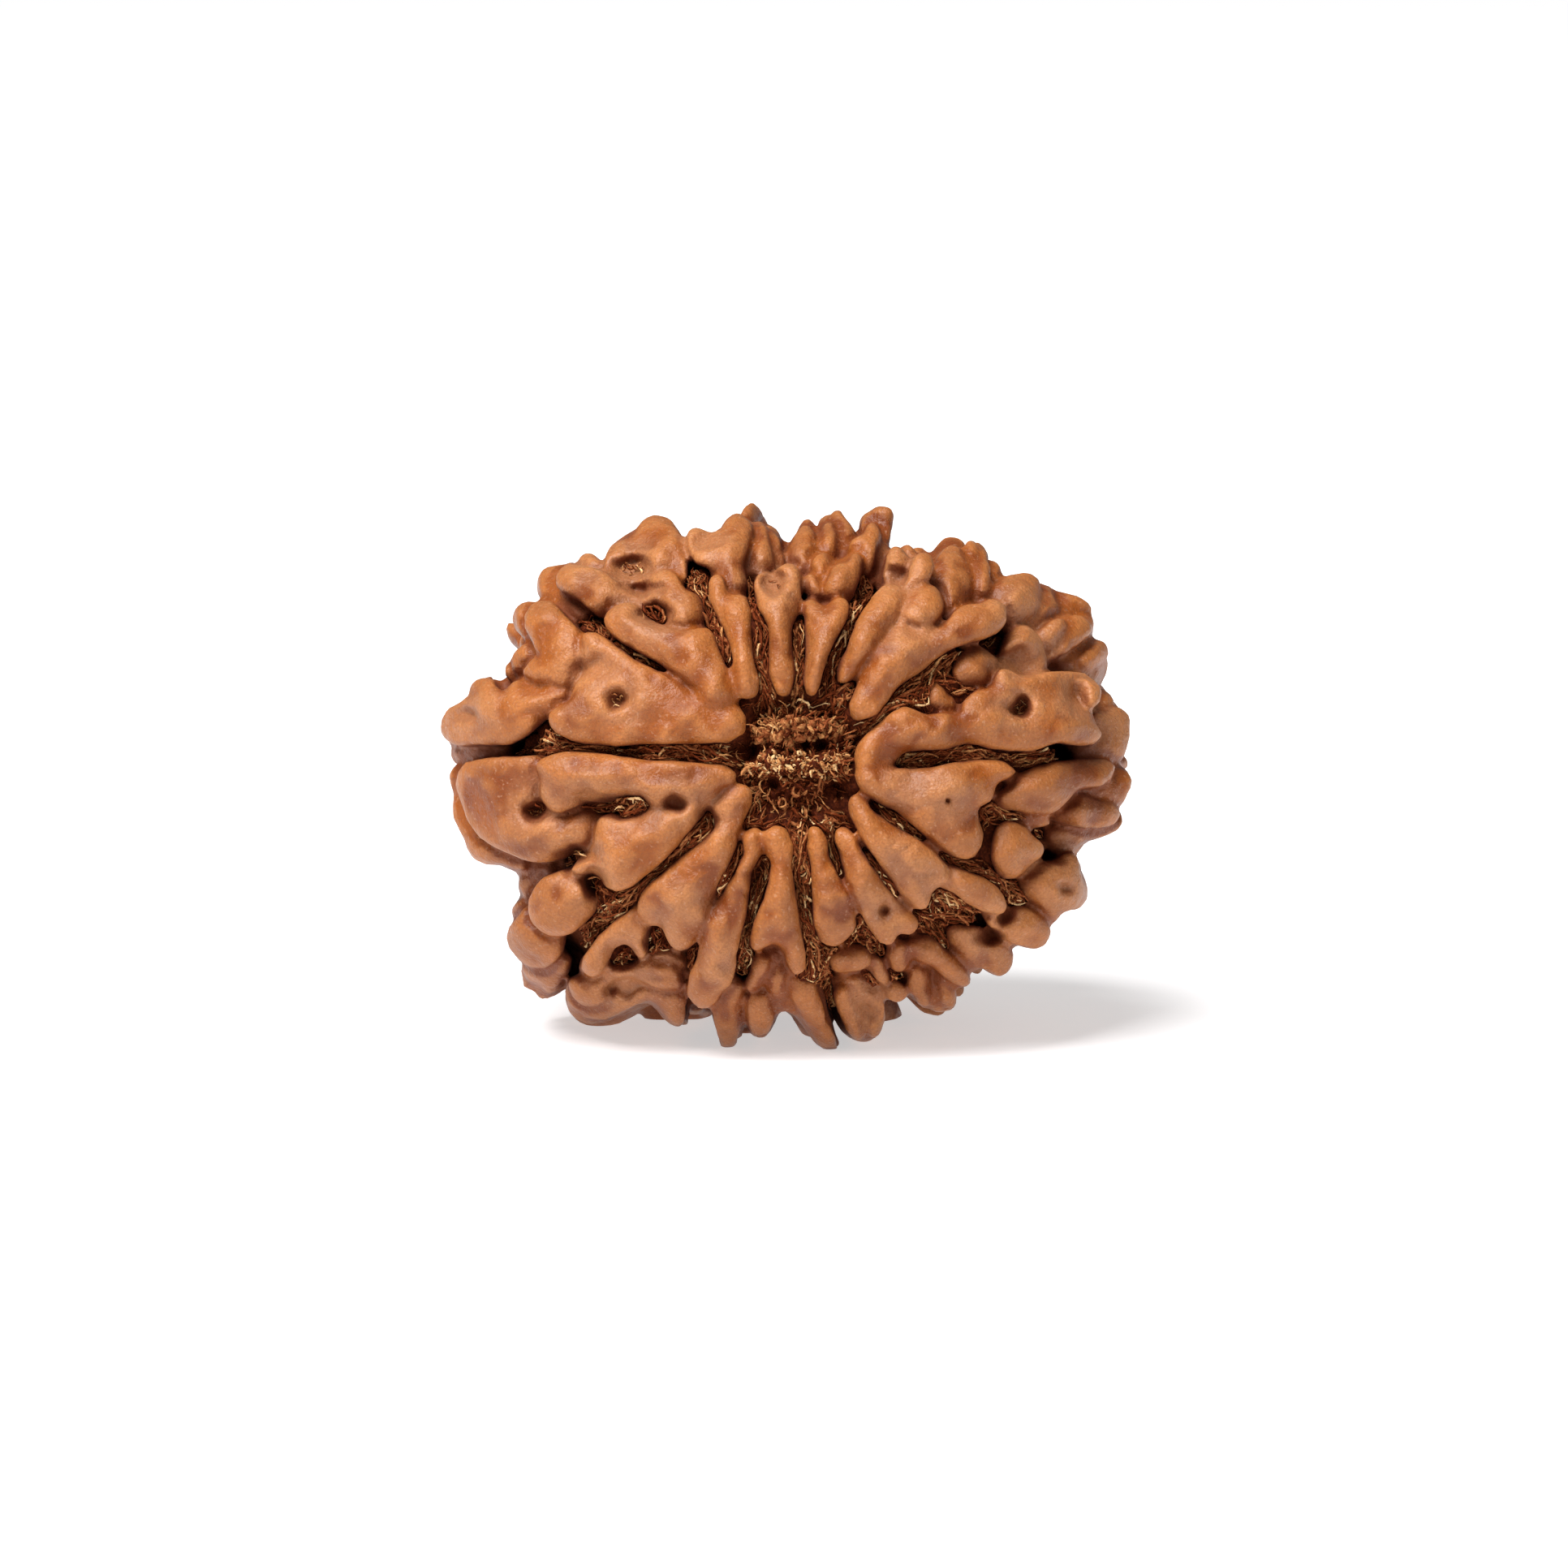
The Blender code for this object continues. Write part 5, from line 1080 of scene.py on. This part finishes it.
class Strands:
    """A growing mesh of tapered strands, each with a tone of its own from dark to straw."""

    def __init__(self):
        self.points = []
        self.faces = []
        self.tones = []

    def add(self, path, thickness, tone, twist, flatness=STRAND_FLATNESS):
        """Add one closed flattened tube along a path, flat side up."""
        first = len(self.points)
        last = len(path) - 1
        ends, middle, growth = STRAND_TAPER
        for k, place in enumerate(path):
            along = (path[min(k + 1, last)] - path[max(k - 1, 0)]).normalized()
            up = place.normalized()
            up = (up - along * up.dot(along)).normalized()
            across = along.cross(up)
            share = k / last
            reach = thickness * (ends + middle * arch(share) ** growth)
            reach *= 1.0 + STRAND_RAGGED * noise.noise(place * STRAND_RAGGED_SPREAD)
            turn = twist * (share - 0.5)
            for n in range(STRAND_SIDES):
                angle = 2.0 * math.pi * n / STRAND_SIDES
                wide = math.cos(angle)
                high = flatness * math.sin(angle)
                x = wide * math.cos(turn) - high * math.sin(turn)
                y = wide * math.sin(turn) + high * math.cos(turn)
                self.points.append(place + across * (reach * x) + up * (reach * y))
                self.tones.append(tone)
        for k in range(last):
            for n in range(STRAND_SIDES):
                a = first + k * STRAND_SIDES + n
                b = first + k * STRAND_SIDES + (n + 1) % STRAND_SIDES
                self.faces.append((a, b, b + STRAND_SIDES, a + STRAND_SIDES))
        ring = range(first, first + STRAND_SIDES)
        self.faces.append(tuple(reversed(ring)))
        self.faces.append(tuple(n + last * STRAND_SIDES for n in ring))

    def object(self, name):
        """The strands as one object."""
        mesh = bpy.data.meshes.new(name)
        mesh.from_pydata(self.points, [], self.faces)
        keep_on(mesh, "tone", self.tones)
        item = bpy.data.objects.new(name, mesh)
        bpy.context.scene.collection.objects.link(item)
        take_up(item)
        bpy.ops.object.mode_set(mode="EDIT")
        bpy.ops.mesh.select_all(action="SELECT")
        bpy.ops.mesh.normals_make_consistent(inside=False)
        bpy.ops.object.mode_set(mode="OBJECT")
        return item


def eased(path, rounds):
    """A path with its inner points drawn towards their neighbours' middle."""
    for _ in range(rounds):
        inner = [(a + 2.0 * b + c) / 4.0 for a, b, c in zip(path, path[1:], path[2:])]
        path = [path[0], *inner, path[-1]]
    return path


class Ground:
    """What the strands lie on: the stone and the fibre mat, as seen from outside."""

    def __init__(self, stone, mat):
        places = [v.co.copy() for v in stone.data.vertices]
        faces = [tuple(p.vertices) for p in stone.data.polygons]
        self.stone_faces = len(faces)
        shift = len(places)
        places += [v.co.copy() for v in mat.data.vertices]
        faces += [tuple(n + shift for n in p.vertices) for p in mat.data.polygons]
        self.tree = BVHTree.FromPolygons(places, faces)

    def look_down(self, way):
        """The place where a line from outside meets the ground, its depth and whether it is mat."""
        place, _, face, _ = self.tree.ray_cast(way * FAR_OUT, -way)
        return place, crown_reach(way) - place.length, face >= self.stone_faces


def any_way(rng):
    """A random direction, all of them equally likely."""
    return Vector([rng.gauss(0.0, 1.0) for _ in range(3)]).normalized()


def along_surface(heading, way):
    """A heading turned into the surface that faces this way."""
    return (heading - way * heading.dot(way)).normalized()


def groove_path(ground, way, length, side, rng):
    """A path that runs along a groove towards one pole, and ends where the mat does."""
    path = []
    stride = length / STRAND_STEPS
    lift = rng.uniform(*GROOVE_LIFT)
    rise = rng.uniform(*GROOVE_RISE) * rng.random()
    heading = along_surface(Vector((0.0, side, 0.0)), way)
    heading = Matrix.Rotation(rng.gauss(0.0, GROOVE_STRAY), 3, way) @ heading
    for k in range(STRAND_STEPS + 1):
        place, depth, on_mat = ground.look_down(way)
        if not on_mat or depth < GROOVE_SHALLOWEST:
            break
        wave = rng.uniform(*GROOVE_WAVE)
        path.append(place + way * (lift + wave + arch(k / STRAND_STEPS, rise)))
        heading = along_surface(heading, way)
        best = None
        for swing in GROOVE_SWINGS:
            stray = rng.uniform(-GROOVE_STRAY, GROOVE_STRAY)
            turned = Matrix.Rotation(swing + stray, 3, way) @ heading
            ahead = (place + turned * stride).normalized()
            _, depth, on_mat = ground.look_down(ahead)
            worth = MAT_WORTH if on_mat else 0.0
            score = min(depth, DEEP_ENOUGH) - SWING_COST * abs(swing) + worth
            if best is None or score > best[0]:
                best = (score, ahead, turned)
        _, way, heading = best
    return path


def short_curl(ground, way, rng):
    """A short shred that stands up off the mat at any slant, or nothing where it would show."""
    place, depth, on_mat = ground.look_down(way)
    if not on_mat or depth < GROOVE_SHALLOWEST + CURL_DEPTH:
        return []
    heading = any_way(rng)
    heading = (heading - way * (heading.dot(way) - CURL_RISE)).normalized()
    path = curl(place, heading, rng.uniform(*CURL_LENGTH), STRAND_STEPS, CURL_WAVE, rng)
    for spot in path:
        if crown_reach(spot.normalized()) - spot.length < GROOVE_SHALLOWEST:
            return []
        if not ground.look_down(spot.normalized())[2]:
            return []
    return path


def lies_clear(path):
    """Whether a path stays above the floor and off the poles' clumps."""
    tilt = math.radians(TILT_DEG)
    for place in path:
        height = place.z * math.cos(tilt) - place.y * math.sin(tilt) + FLOOR
        if height < FLOOR_CLEARANCE:
            return False
        if math.hypot(place.x - POLE[0], place.z - POLE[1]) < POLE_CLEARANCE:
            return False
    return True


def fill_hollows(strands, ground, rng):
    """Curls of fibre at the bottom of the larger hollows."""
    spread = (-FILLED_MIDDLE, FILLED_MIDDLE)
    for x, z, wide, high, depth, drop in HOLLOWS:
        if min(wide, high) < FILLED_HOLLOW[0] or depth < FILLED_HOLLOW[1]:
            continue
        level = drop - crown_level(x, z)
        for _ in range(int(HOLLOW_STRANDS * wide * high)):
            above = Vector((x + rng.uniform(*spread) * wide, IN_FRONT,
                            z + rng.uniform(*spread) * high))
            start = ground.tree.ray_cast(above, Vector((0.0, 1.0, 0.0)))[0]
            if start.y < level + FILLED_BOTTOM:
                continue
            heading = Vector((rng.gauss(0.0, 1.0), rng.uniform(*HOLLOW_SLOPE), rng.gauss(0.0, 1.0)))
            length = rng.uniform(*HOLLOW_LENGTH)
            path = curl(start, heading.normalized(), length, HOLLOW_STEPS, CURL_WAVE, rng)
            if all(((p.x - x) / wide) ** 2 + ((p.z - z) / high) ** 2 < FILLED_INSIDE and p.y > level
                   for p in path):
                strands.add(path, rng.uniform(*HOLLOW_THICKNESS), rng.uniform(*HOLLOW_TONES),
                            HOLLOW_TWIST)


def well_walled(path, tree):
    """Whether walls stand round a path's ends and middle, so that it lies in a groove."""
    return all(walled_in(path[k], tree) >= STRAND_WALLED for k in (0, len(path) // 2, -1))


def lay_groove_fibre(name, ground, side):
    """Loose dried shreds along the grooves of one half of the stone, and on the front half tufts in
    its hollows.
    """
    rng = random.Random(SEED + 2 + side)
    strands = Strands()
    laid = 0
    while laid < GROOVE_STRANDS:
        way = any_way(rng)
        way.y = side * abs(way.y)
        if rng.random() < CURL_SHARE:
            path = short_curl(ground, way, rng)
        else:
            poleward = side if rng.random() < 0.5 else -side
            path = groove_path(ground, way, rng.uniform(*GROOVE_LENGTH), poleward, rng)
        if len(path) < LEAST_PLACES or not lies_clear(path) or not well_walled(path, ground.tree):
            continue
        if rng.random() < DARK_SHARE:
            tone = DARK_TONE * rng.random()
        else:
            tone = rng.uniform(*PALE_TONES)
        thickness = rng.uniform(*GROOVE_THICKNESS)
        strands.add(path, thickness, tone, rng.uniform(-GROOVE_TWIST, GROOVE_TWIST))
        laid += 1
    if side < 0:
        fill_hollows(strands, ground, rng)
    return strands.object(name)


def clump_level(x, z, side):
    """How far in front of the equator the fibre clump's face is, over a point from its middle."""
    left = 1.0 - (x / FIBRE_RADIUS[0]) ** 2 - (z / FIBRE_RADIUS[2]) ** 2
    slope = math.sqrt(max(left, 0.0))
    spot = Vector((x, side * CLUMPS_APART, z)) * FIBRE_LUMP_SPREAD
    rise = FIBRE_LUMPS * noise.noise(spot)
    for height, width, crest in FIBRE_CRESTS:
        rise += crest * math.exp(-((z - height) / width) ** 2)
    return FIBRE_LEVEL + (FIBRE_RADIUS[1] + rise) * slope


def curl(start, heading, length, steps, wave, rng):
    """A curly path that wanders off its heading."""
    path = [start.copy()]
    for _ in range(steps):
        stray = Vector((rng.uniform(-1.0, 1.0), rng.uniform(-1.0, 1.0), rng.uniform(-1.0, 1.0)))
        heading = (heading + stray * wave).normalized()
        path.append(path[-1] + heading * (length / steps))
    return eased(path, 1)


def holes_at(x, z):
    """How far a place in the clump is from each of its dark gaps, in the gap's radius."""
    return [math.hypot(x + POLE[0] - a, z + POLE[1] - b) / radius for a, b, radius in FIBRE_HOLES]


def add_shred(strands, side, x, z, heading, kind, rng):
    """Add one shred of a kind to a pole's clump, unless it would lie over a dark gap."""
    _, depth, length, wave, tone, thickness, flatness = kind
    start = Vector((x, -clump_level(x, z, side) + rng.uniform(*depth), z))
    length, tone, thickness = (rng.uniform(*limits) for limits in (length, tone, thickness))
    path = curl(start, heading.normalized(), length, TUFT_STEPS, wave, rng)
    if any(min(holes_at(p.x, p.z)) < 1.0 for p in path):
        return
    path = [Vector((p.x + POLE[0], -p.y if side > 0 else p.y, p.z + POLE[1])) for p in path]
    strands.add(path, thickness, tone, rng.uniform(-TUFT_TWIST, TUFT_TWIST), flatness)


def tuft_shreds(rng):
    """Where the shreds of a tuft start, where they head and of what kind they are."""
    # Litter that lies all over the clump
    for _ in range(LITTER[0]):
        far = TUFT_RADIUS * math.sqrt(rng.random())
        angle = rng.uniform(0.0, 2.0 * math.pi)
        heading = Vector((rng.gauss(0.0, 1.0), rng.gauss(0.0, 0.3), rng.gauss(0.0, 1.0)))
        yield far * math.cos(angle), far * math.sin(angle), heading, LITTER
    # Broad flakes that stand side by side on the upper crest
    for k in range(FLAKES[0]):
        x = FLAKES_ALONG[0] + FLAKES_ALONG[1] * (k + rng.random()) / FLAKES[0]
        z = FIBRE_CRESTS[0][0] + rng.uniform(-0.35, 0.3)
        heading = Vector((rng.gauss(0.0, 0.4), rng.uniform(-0.7, 0.1), rng.choice((-1.0, 1.0))))
        yield x, z, heading, FLAKES
    # Curls of paler fibre on the lower crest
    for k in range(CURLS[0]):
        x = CURLS_ALONG[0] + CURLS_ALONG[1] * (k + rng.random()) / CURLS[0]
        z = FIBRE_CRESTS[1][0] + rng.gauss(0.0, 0.3)
        yield x, z, Vector((rng.gauss(0.0, 0.8), -0.4, rng.gauss(0.0, 0.8))), CURLS
    # Loose ends that lead out into the grooves
    for _ in range(LOOSE_ENDS[0]):
        angle = rng.uniform(0.0, 2.0 * math.pi)
        far = rng.uniform(*TUFT_ENDS_FROM)
        heading = Vector((math.cos(angle), rng.uniform(-0.1, 0.4), math.sin(angle)))
        yield far * math.cos(angle), far * math.sin(angle), heading, LOOSE_ENDS


def clump_body(side):
    """The dark body under a tuft's shreds, with its gaps sunk in."""
    body = bmesh.new()
    bmesh.ops.create_icosphere(body, subdivisions=CLUMP_FINENESS, radius=1.0)
    for vert in body.verts:
        way = vert.co.normalized()
        x, y, z = (FIBRE_RADIUS[k] * way[k] for k in range(3))
        if y < 0.0:
            rough = noise.noise(Vector((x, side, z)) * CLUMP_ROUGH_SPREAD)
            y = -clump_level(x, z, side) + CLUMP_ROUGHNESS * rough
            for off in holes_at(x, z):
                y += HOLE_DEPTH * math.exp(-off * off)
        else:
            y -= FIBRE_LEVEL
        vert.co = (POLE[0] + x, y, POLE[1] + z)
    if side > 0:
        mirror(body)
    return mesh_object("clump", body)


def grow_tuft(name, side):
    """The dried fibre at one pole: a dark clump under matted shreds, two crests and loose ends."""
    rng = random.Random(SEED + 5 + side)
    strands = Strands()
    for x, z, heading, kind in tuft_shreds(rng):
        add_shred(strands, side, x, z, heading, kind, rng)
    tuft = strands.object(name)
    clump = clump_body(side)
    keep_on(clump.data, "tone", [MAT_TONE] * len(clump.data.vertices))
    take_up(tuft)
    clump.select_set(True)
    bpy.ops.object.join()
    return tuft


def set_down(item):
    """Tilt a piece back and lift it onto the floor, still in millimetres."""
    tilt = Matrix.Rotation(math.radians(-TILT_DEG), 4, "X")
    lift = Matrix.Translation((-MIDDLE[0], -MIDDLE[1], FLOOR))
    item.data.transform(lift @ tilt)


def linear(code):
    """A colour given as sRGB hex, turned linear."""
    channels = []
    for k in (0, 2, 4):
        value = int(code[k:k + 2], 16) / 255.0
        channels.append(value / 12.92 if value <= 0.04045 else ((value + 0.055) / 1.055) ** 2.4)
    return (*channels, 1.0)


def add_node(tree, kind, inputs=(), **settings):
    """A node with its settings, its input values and the links into it."""
    made = tree.nodes.new(kind)
    for name, value in settings.items():
        setattr(made, name, value)
    for name, value in dict(inputs).items():
        if isinstance(value, bpy.types.NodeSocket):
            tree.links.new(value, made.inputs[name])
        else:
            made.inputs[name].default_value = value
    return made


def mix(tree, share, low, high):
    """Two colours mixed by a share."""
    made = add_node(tree, "ShaderNodeMix", {0: share, 6: low, 7: high}, data_type="RGBA")
    return made.outputs[2]


def between(tree, value, low, high, to_low=0.0, to_high=1.0):
    """A value's place between two limits, kept within them."""
    made = add_node(tree, "ShaderNodeMapRange", {
        "Value": value, "From Min": low, "From Max": high, "To Min": to_low, "To Max": to_high,
    }, interpolation_type="SMOOTHSTEP")
    return made.outputs["Result"]


def math_node(tree, operation, *values):
    """Arithmetic on two or three values."""
    inputs = dict(enumerate(values))
    return add_node(tree, "ShaderNodeMath", inputs, operation=operation).outputs[0]


def cloud(tree, coords, size, detail, roughness=0.55):
    """Soft noise whose lumps have this size in millimetres."""
    return add_node(tree, "ShaderNodeTexNoise", {
        "Vector": coords, "Scale": 1.0 / (size * MM), "Detail": detail, "Roughness": roughness,
    }).outputs["Fac"]


def kept_value(tree, name):
    """The value that a piece keeps under this name."""
    return add_node(tree, "ShaderNodeAttribute", attribute_name=name).outputs["Fac"]


def bump(tree, height, depth, strength, **under):
    """Normals roughened by a height of this depth in millimetres, over those beneath."""
    made = add_node(tree, "ShaderNodeBump", {
        "Strength": strength, "Distance": depth * MM, "Height": height, **under})
    return made.outputs["Normal"]


def new_finish(name, settings):
    """A material with its tree, its shader's sockets set like this, and a piece's coordinates."""
    stuff = bpy.data.materials.new(name)
    stuff.use_nodes = True
    tree = stuff.node_tree
    sockets = tree.nodes["Principled BSDF"].inputs
    for socket, value in settings.items():
        sockets[socket].default_value = value
    return stuff, tree, sockets, add_node(tree, "ShaderNodeTexCoord").outputs["Object"]


def oiled_endocarp():
    """Brushed and oiled fruit stone: a soft waxy shine over tan wood. Its colour holds painted
    shade, darker where near parts of the stone hide the sky, where it is also duller, and paler,
    more orange ridges that are partly their own tone and partly a painted highlight.
    """
    stuff, tree, sockets, coords = new_finish("oiled_woody_endocarp", {
        "IOR": 1.48, "Specular IOR Level": 0.34, "Subsurface Weight": 0.12,
        "Subsurface Radius": (1.0, 0.4, 0.18), "Subsurface Scale": 0.8 * MM})
    patches = cloud(tree, coords, 3.4, 3.0)
    mottle = cloud(tree, coords, 0.9, 3.0, 0.6)
    grain = cloud(tree, coords, 0.13, 2.0, 0.6)
    specks = cloud(tree, coords, 0.2, 1.0, 0.5)
    bloom = math_node(tree, "MULTIPLY_ADD", mottle, 1.0, kept_value(tree, "frost"))
    # Painted shade: the share of sky that near parts of the stone hide, its edge made ragged by the
    # mottle
    painted_shade_mask = math_node(tree, "MULTIPLY_ADD", mottle, 0.30, kept_value(tree, "shelter"))

    # Layers of colour: what each follows, between which values, how strongly, and the colour
    colour = linear("77370c")
    for value, limits, code in (
            (patches, (0.40, 0.62), "934d16"),
            (bloom, (0.62, 1.35, 0.0, 0.45), "b9835a"),
            # Paler, more orange ridges: partly their own tone, partly a painted highlight
            (kept_value(tree, "proud"), (0.2, 0.9, 0.0, 0.42), "c48148"),
            (grain, (0.38, 0.68, 0.0, 0.34), "75401f"),
            (specks, (0.62, 0.76, 0.0, 0.22), "cfa385"),
            # Painted shade in two steps, darker where more of the sky is hidden
            (painted_shade_mask, (0.40, 0.90), "6a3010"),
            (painted_shade_mask, (0.92, 1.18), "441906")):
        colour = mix(tree, between(tree, value, *limits), colour, linear(code))
    tree.links.new(colour, sockets["Base Color"])

    gloss = between(tree, mottle, 0.35, 0.7, 0.40, 0.54)
    dull = between(tree, painted_shade_mask, 0.5, 0.9, 0.0, 0.35)
    tree.links.new(math_node(tree, "ADD", gloss, dull), sockets["Roughness"])
    coarse = bump(tree, cloud(tree, coords, 0.5, 3.0), 0.14, 0.8)
    tree.links.new(bump(tree, grain, 0.04, 1.0, Normal=coarse), sockets["Normal"])
    return stuff


def dried_fibre():
    """Dried fruit fibre: dull shreds from dark brown to straw, each with a tone of its own."""
    stuff, tree, sockets, coords = new_finish("dried_fruit_fibre", {
        "Roughness": 0.75, "Specular IOR Level": 0.08})
    flecks = cloud(tree, coords, 0.14, 2.0)
    varied = math_node(tree, "ADD", kept_value(tree, "tone"),
                       between(tree, flecks, 0.3, 0.7, -0.13, 0.13))
    ramp = add_node(tree, "ShaderNodeValToRGB", {"Fac": between(tree, varied, -0.35, 1.1)})
    colours = ramp.color_ramp
    colours.interpolation = "EASE"
    stops = ((0.0, "3a1205"), (0.3, "6e3013"), (0.55, "955731"), (0.8, "c48b55"), (1.0, "eac48e"))
    for place, _ in stops[2:]:
        colours.elements.new(place)
    for stop, (place, code) in zip(colours.elements, stops):
        stop.position = place
        stop.color = linear(code)
    tree.links.new(ramp.outputs["Color"], sockets["Base Color"])
    tree.links.new(bump(tree, flecks, 0.03, 0.7), sockets["Normal"])
    return stuff


def white_paper():
    """Matt white paper, lit up evenly away from the seed, so that the backdrop is white."""
    stuff, tree, sockets, coords = new_finish("white_paper", {
        "Base Color": (*PAPER_WHITE, 1.0), "Roughness": 0.95, "Specular IOR Level": 0.0,
        "Emission Color": WHITE})
    far = add_node(tree, "ShaderNodeVectorMath", {0: coords}, operation="LENGTH").outputs["Value"]
    tree.links.new(between(tree, far, *GLOW_REACH, *GLOW), sockets["Emission Strength"])
    return stuff


def studio():
    """White paper with a soft key light from the upper left, and the camera along the axis."""
    bpy.ops.object.select_all(action="DESELECT")
    bpy.ops.mesh.primitive_plane_add(size=PAPER_SIZE, location=(0.0, 0.0, 0.0))
    floor = bpy.context.object
    floor.name = "studio_floor"
    floor.data.materials.append(white_paper())

    world = bpy.data.worlds.new("studio")
    bpy.context.scene.world = world
    world.use_nodes = True
    sky = world.node_tree.nodes["Background"].inputs
    sky["Color"].default_value = WHITE
    sky["Strength"].default_value = SKY_LIGHT

    for name, place, size, power in LAMPS:
        bpy.ops.object.light_add(type="AREA", location=place)
        lamp = bpy.context.object
        lamp.name = name
        lamp.data.size = size
        lamp.data.energy = power
        aim = Vector(LAMP_AIM) - Vector(place)
        lamp.rotation_euler = aim.to_track_quat("-Z", "Y").to_euler()

    tilt = math.radians(TILT_DEG)
    away = PICTURE / PIXELS_PER_MM * LENS / SENSOR
    right = (PICTURE / 2 - AIM_PIXEL[0]) / PIXELS_PER_MM
    up = (AIM_PIXEL[1] - PICTURE / 2) / PIXELS_PER_MM
    place = Vector((right - MIDDLE[0],
                    -away * math.cos(tilt) - up * math.sin(tilt) - MIDDLE[1],
                    away * math.sin(tilt) + up * math.cos(tilt) + FLOOR))
    bpy.ops.object.camera_add(location=place * MM, rotation=(math.radians(90.0) - tilt, 0.0, 0.0))
    camera = bpy.context.object
    camera.data.lens = LENS
    camera.data.sensor_width = SENSOR
    camera.data.clip_start = NEAREST_SEEN
    bpy.context.scene.camera = camera
    bpy.context.scene.view_settings.view_transform = "Standard"


def fit_into(pieces, lead, box):
    """Turn millimetres into metres, shrunk on each axis so that the lead piece fills the box."""
    places = np.array([v.co for v in lead.data.vertices]) * MM
    low, high = places.min(axis=0), places.max(axis=0)
    shrink = [min(1.0, (box[1][k] - box[0][k]) / (high[k] - low[k])) for k in range(3)]
    move = [0.5 * (box[0][k] + box[1][k]) - 0.5 * (low[k] + high[k]) * shrink[k] for k in range(3)]
    move[2] = box[0][2] - low[2] * shrink[2]
    change = Matrix.Translation(move) @ Matrix.Diagonal((*shrink, 1.0)) @ Matrix.Scale(MM, 4)
    for piece in pieces:
        piece.data.transform(change)


noise.seed_set(SEED)
stone, front, hidden = grow_stone()
mat = lay_fibre_mat(stone, front, hidden)
ground = Ground(stone, mat)
read_surface(stone, ground.tree)
shreds = [lay_groove_fibre("groove_fibre_front", ground, -1),
          lay_groove_fibre("groove_fibre_back", ground, 1)]
tufts = [grow_tuft("fibre_tuft_front", -1), grow_tuft("fibre_tuft_back", 1)]
pieces = [stone, mat, *shreds, *tufts]
for piece in pieces:
    set_down(piece)
cutter = bmesh.new()
bmesh.ops.create_cube(cutter, size=GROUND_BLOCK)
bmesh.ops.translate(cutter, vec=(0.0, 0.0, -0.5 * GROUND_BLOCK), verts=cutter.verts)
cut_away(stone, mesh_object("ground", cutter))
fit_into(pieces, stone, solid_box)
endocarp = oiled_endocarp()
fibre = dried_fibre()
for piece in pieces:
    piece.data.materials.clear()
    piece.data.materials.append(endocarp if piece is stone else fibre)
    piece.data.shade_smooth()
    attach(piece, "root")
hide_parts("seed_stone")
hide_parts("pole_fibre_front")
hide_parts("pole_fibre_back")
studio()
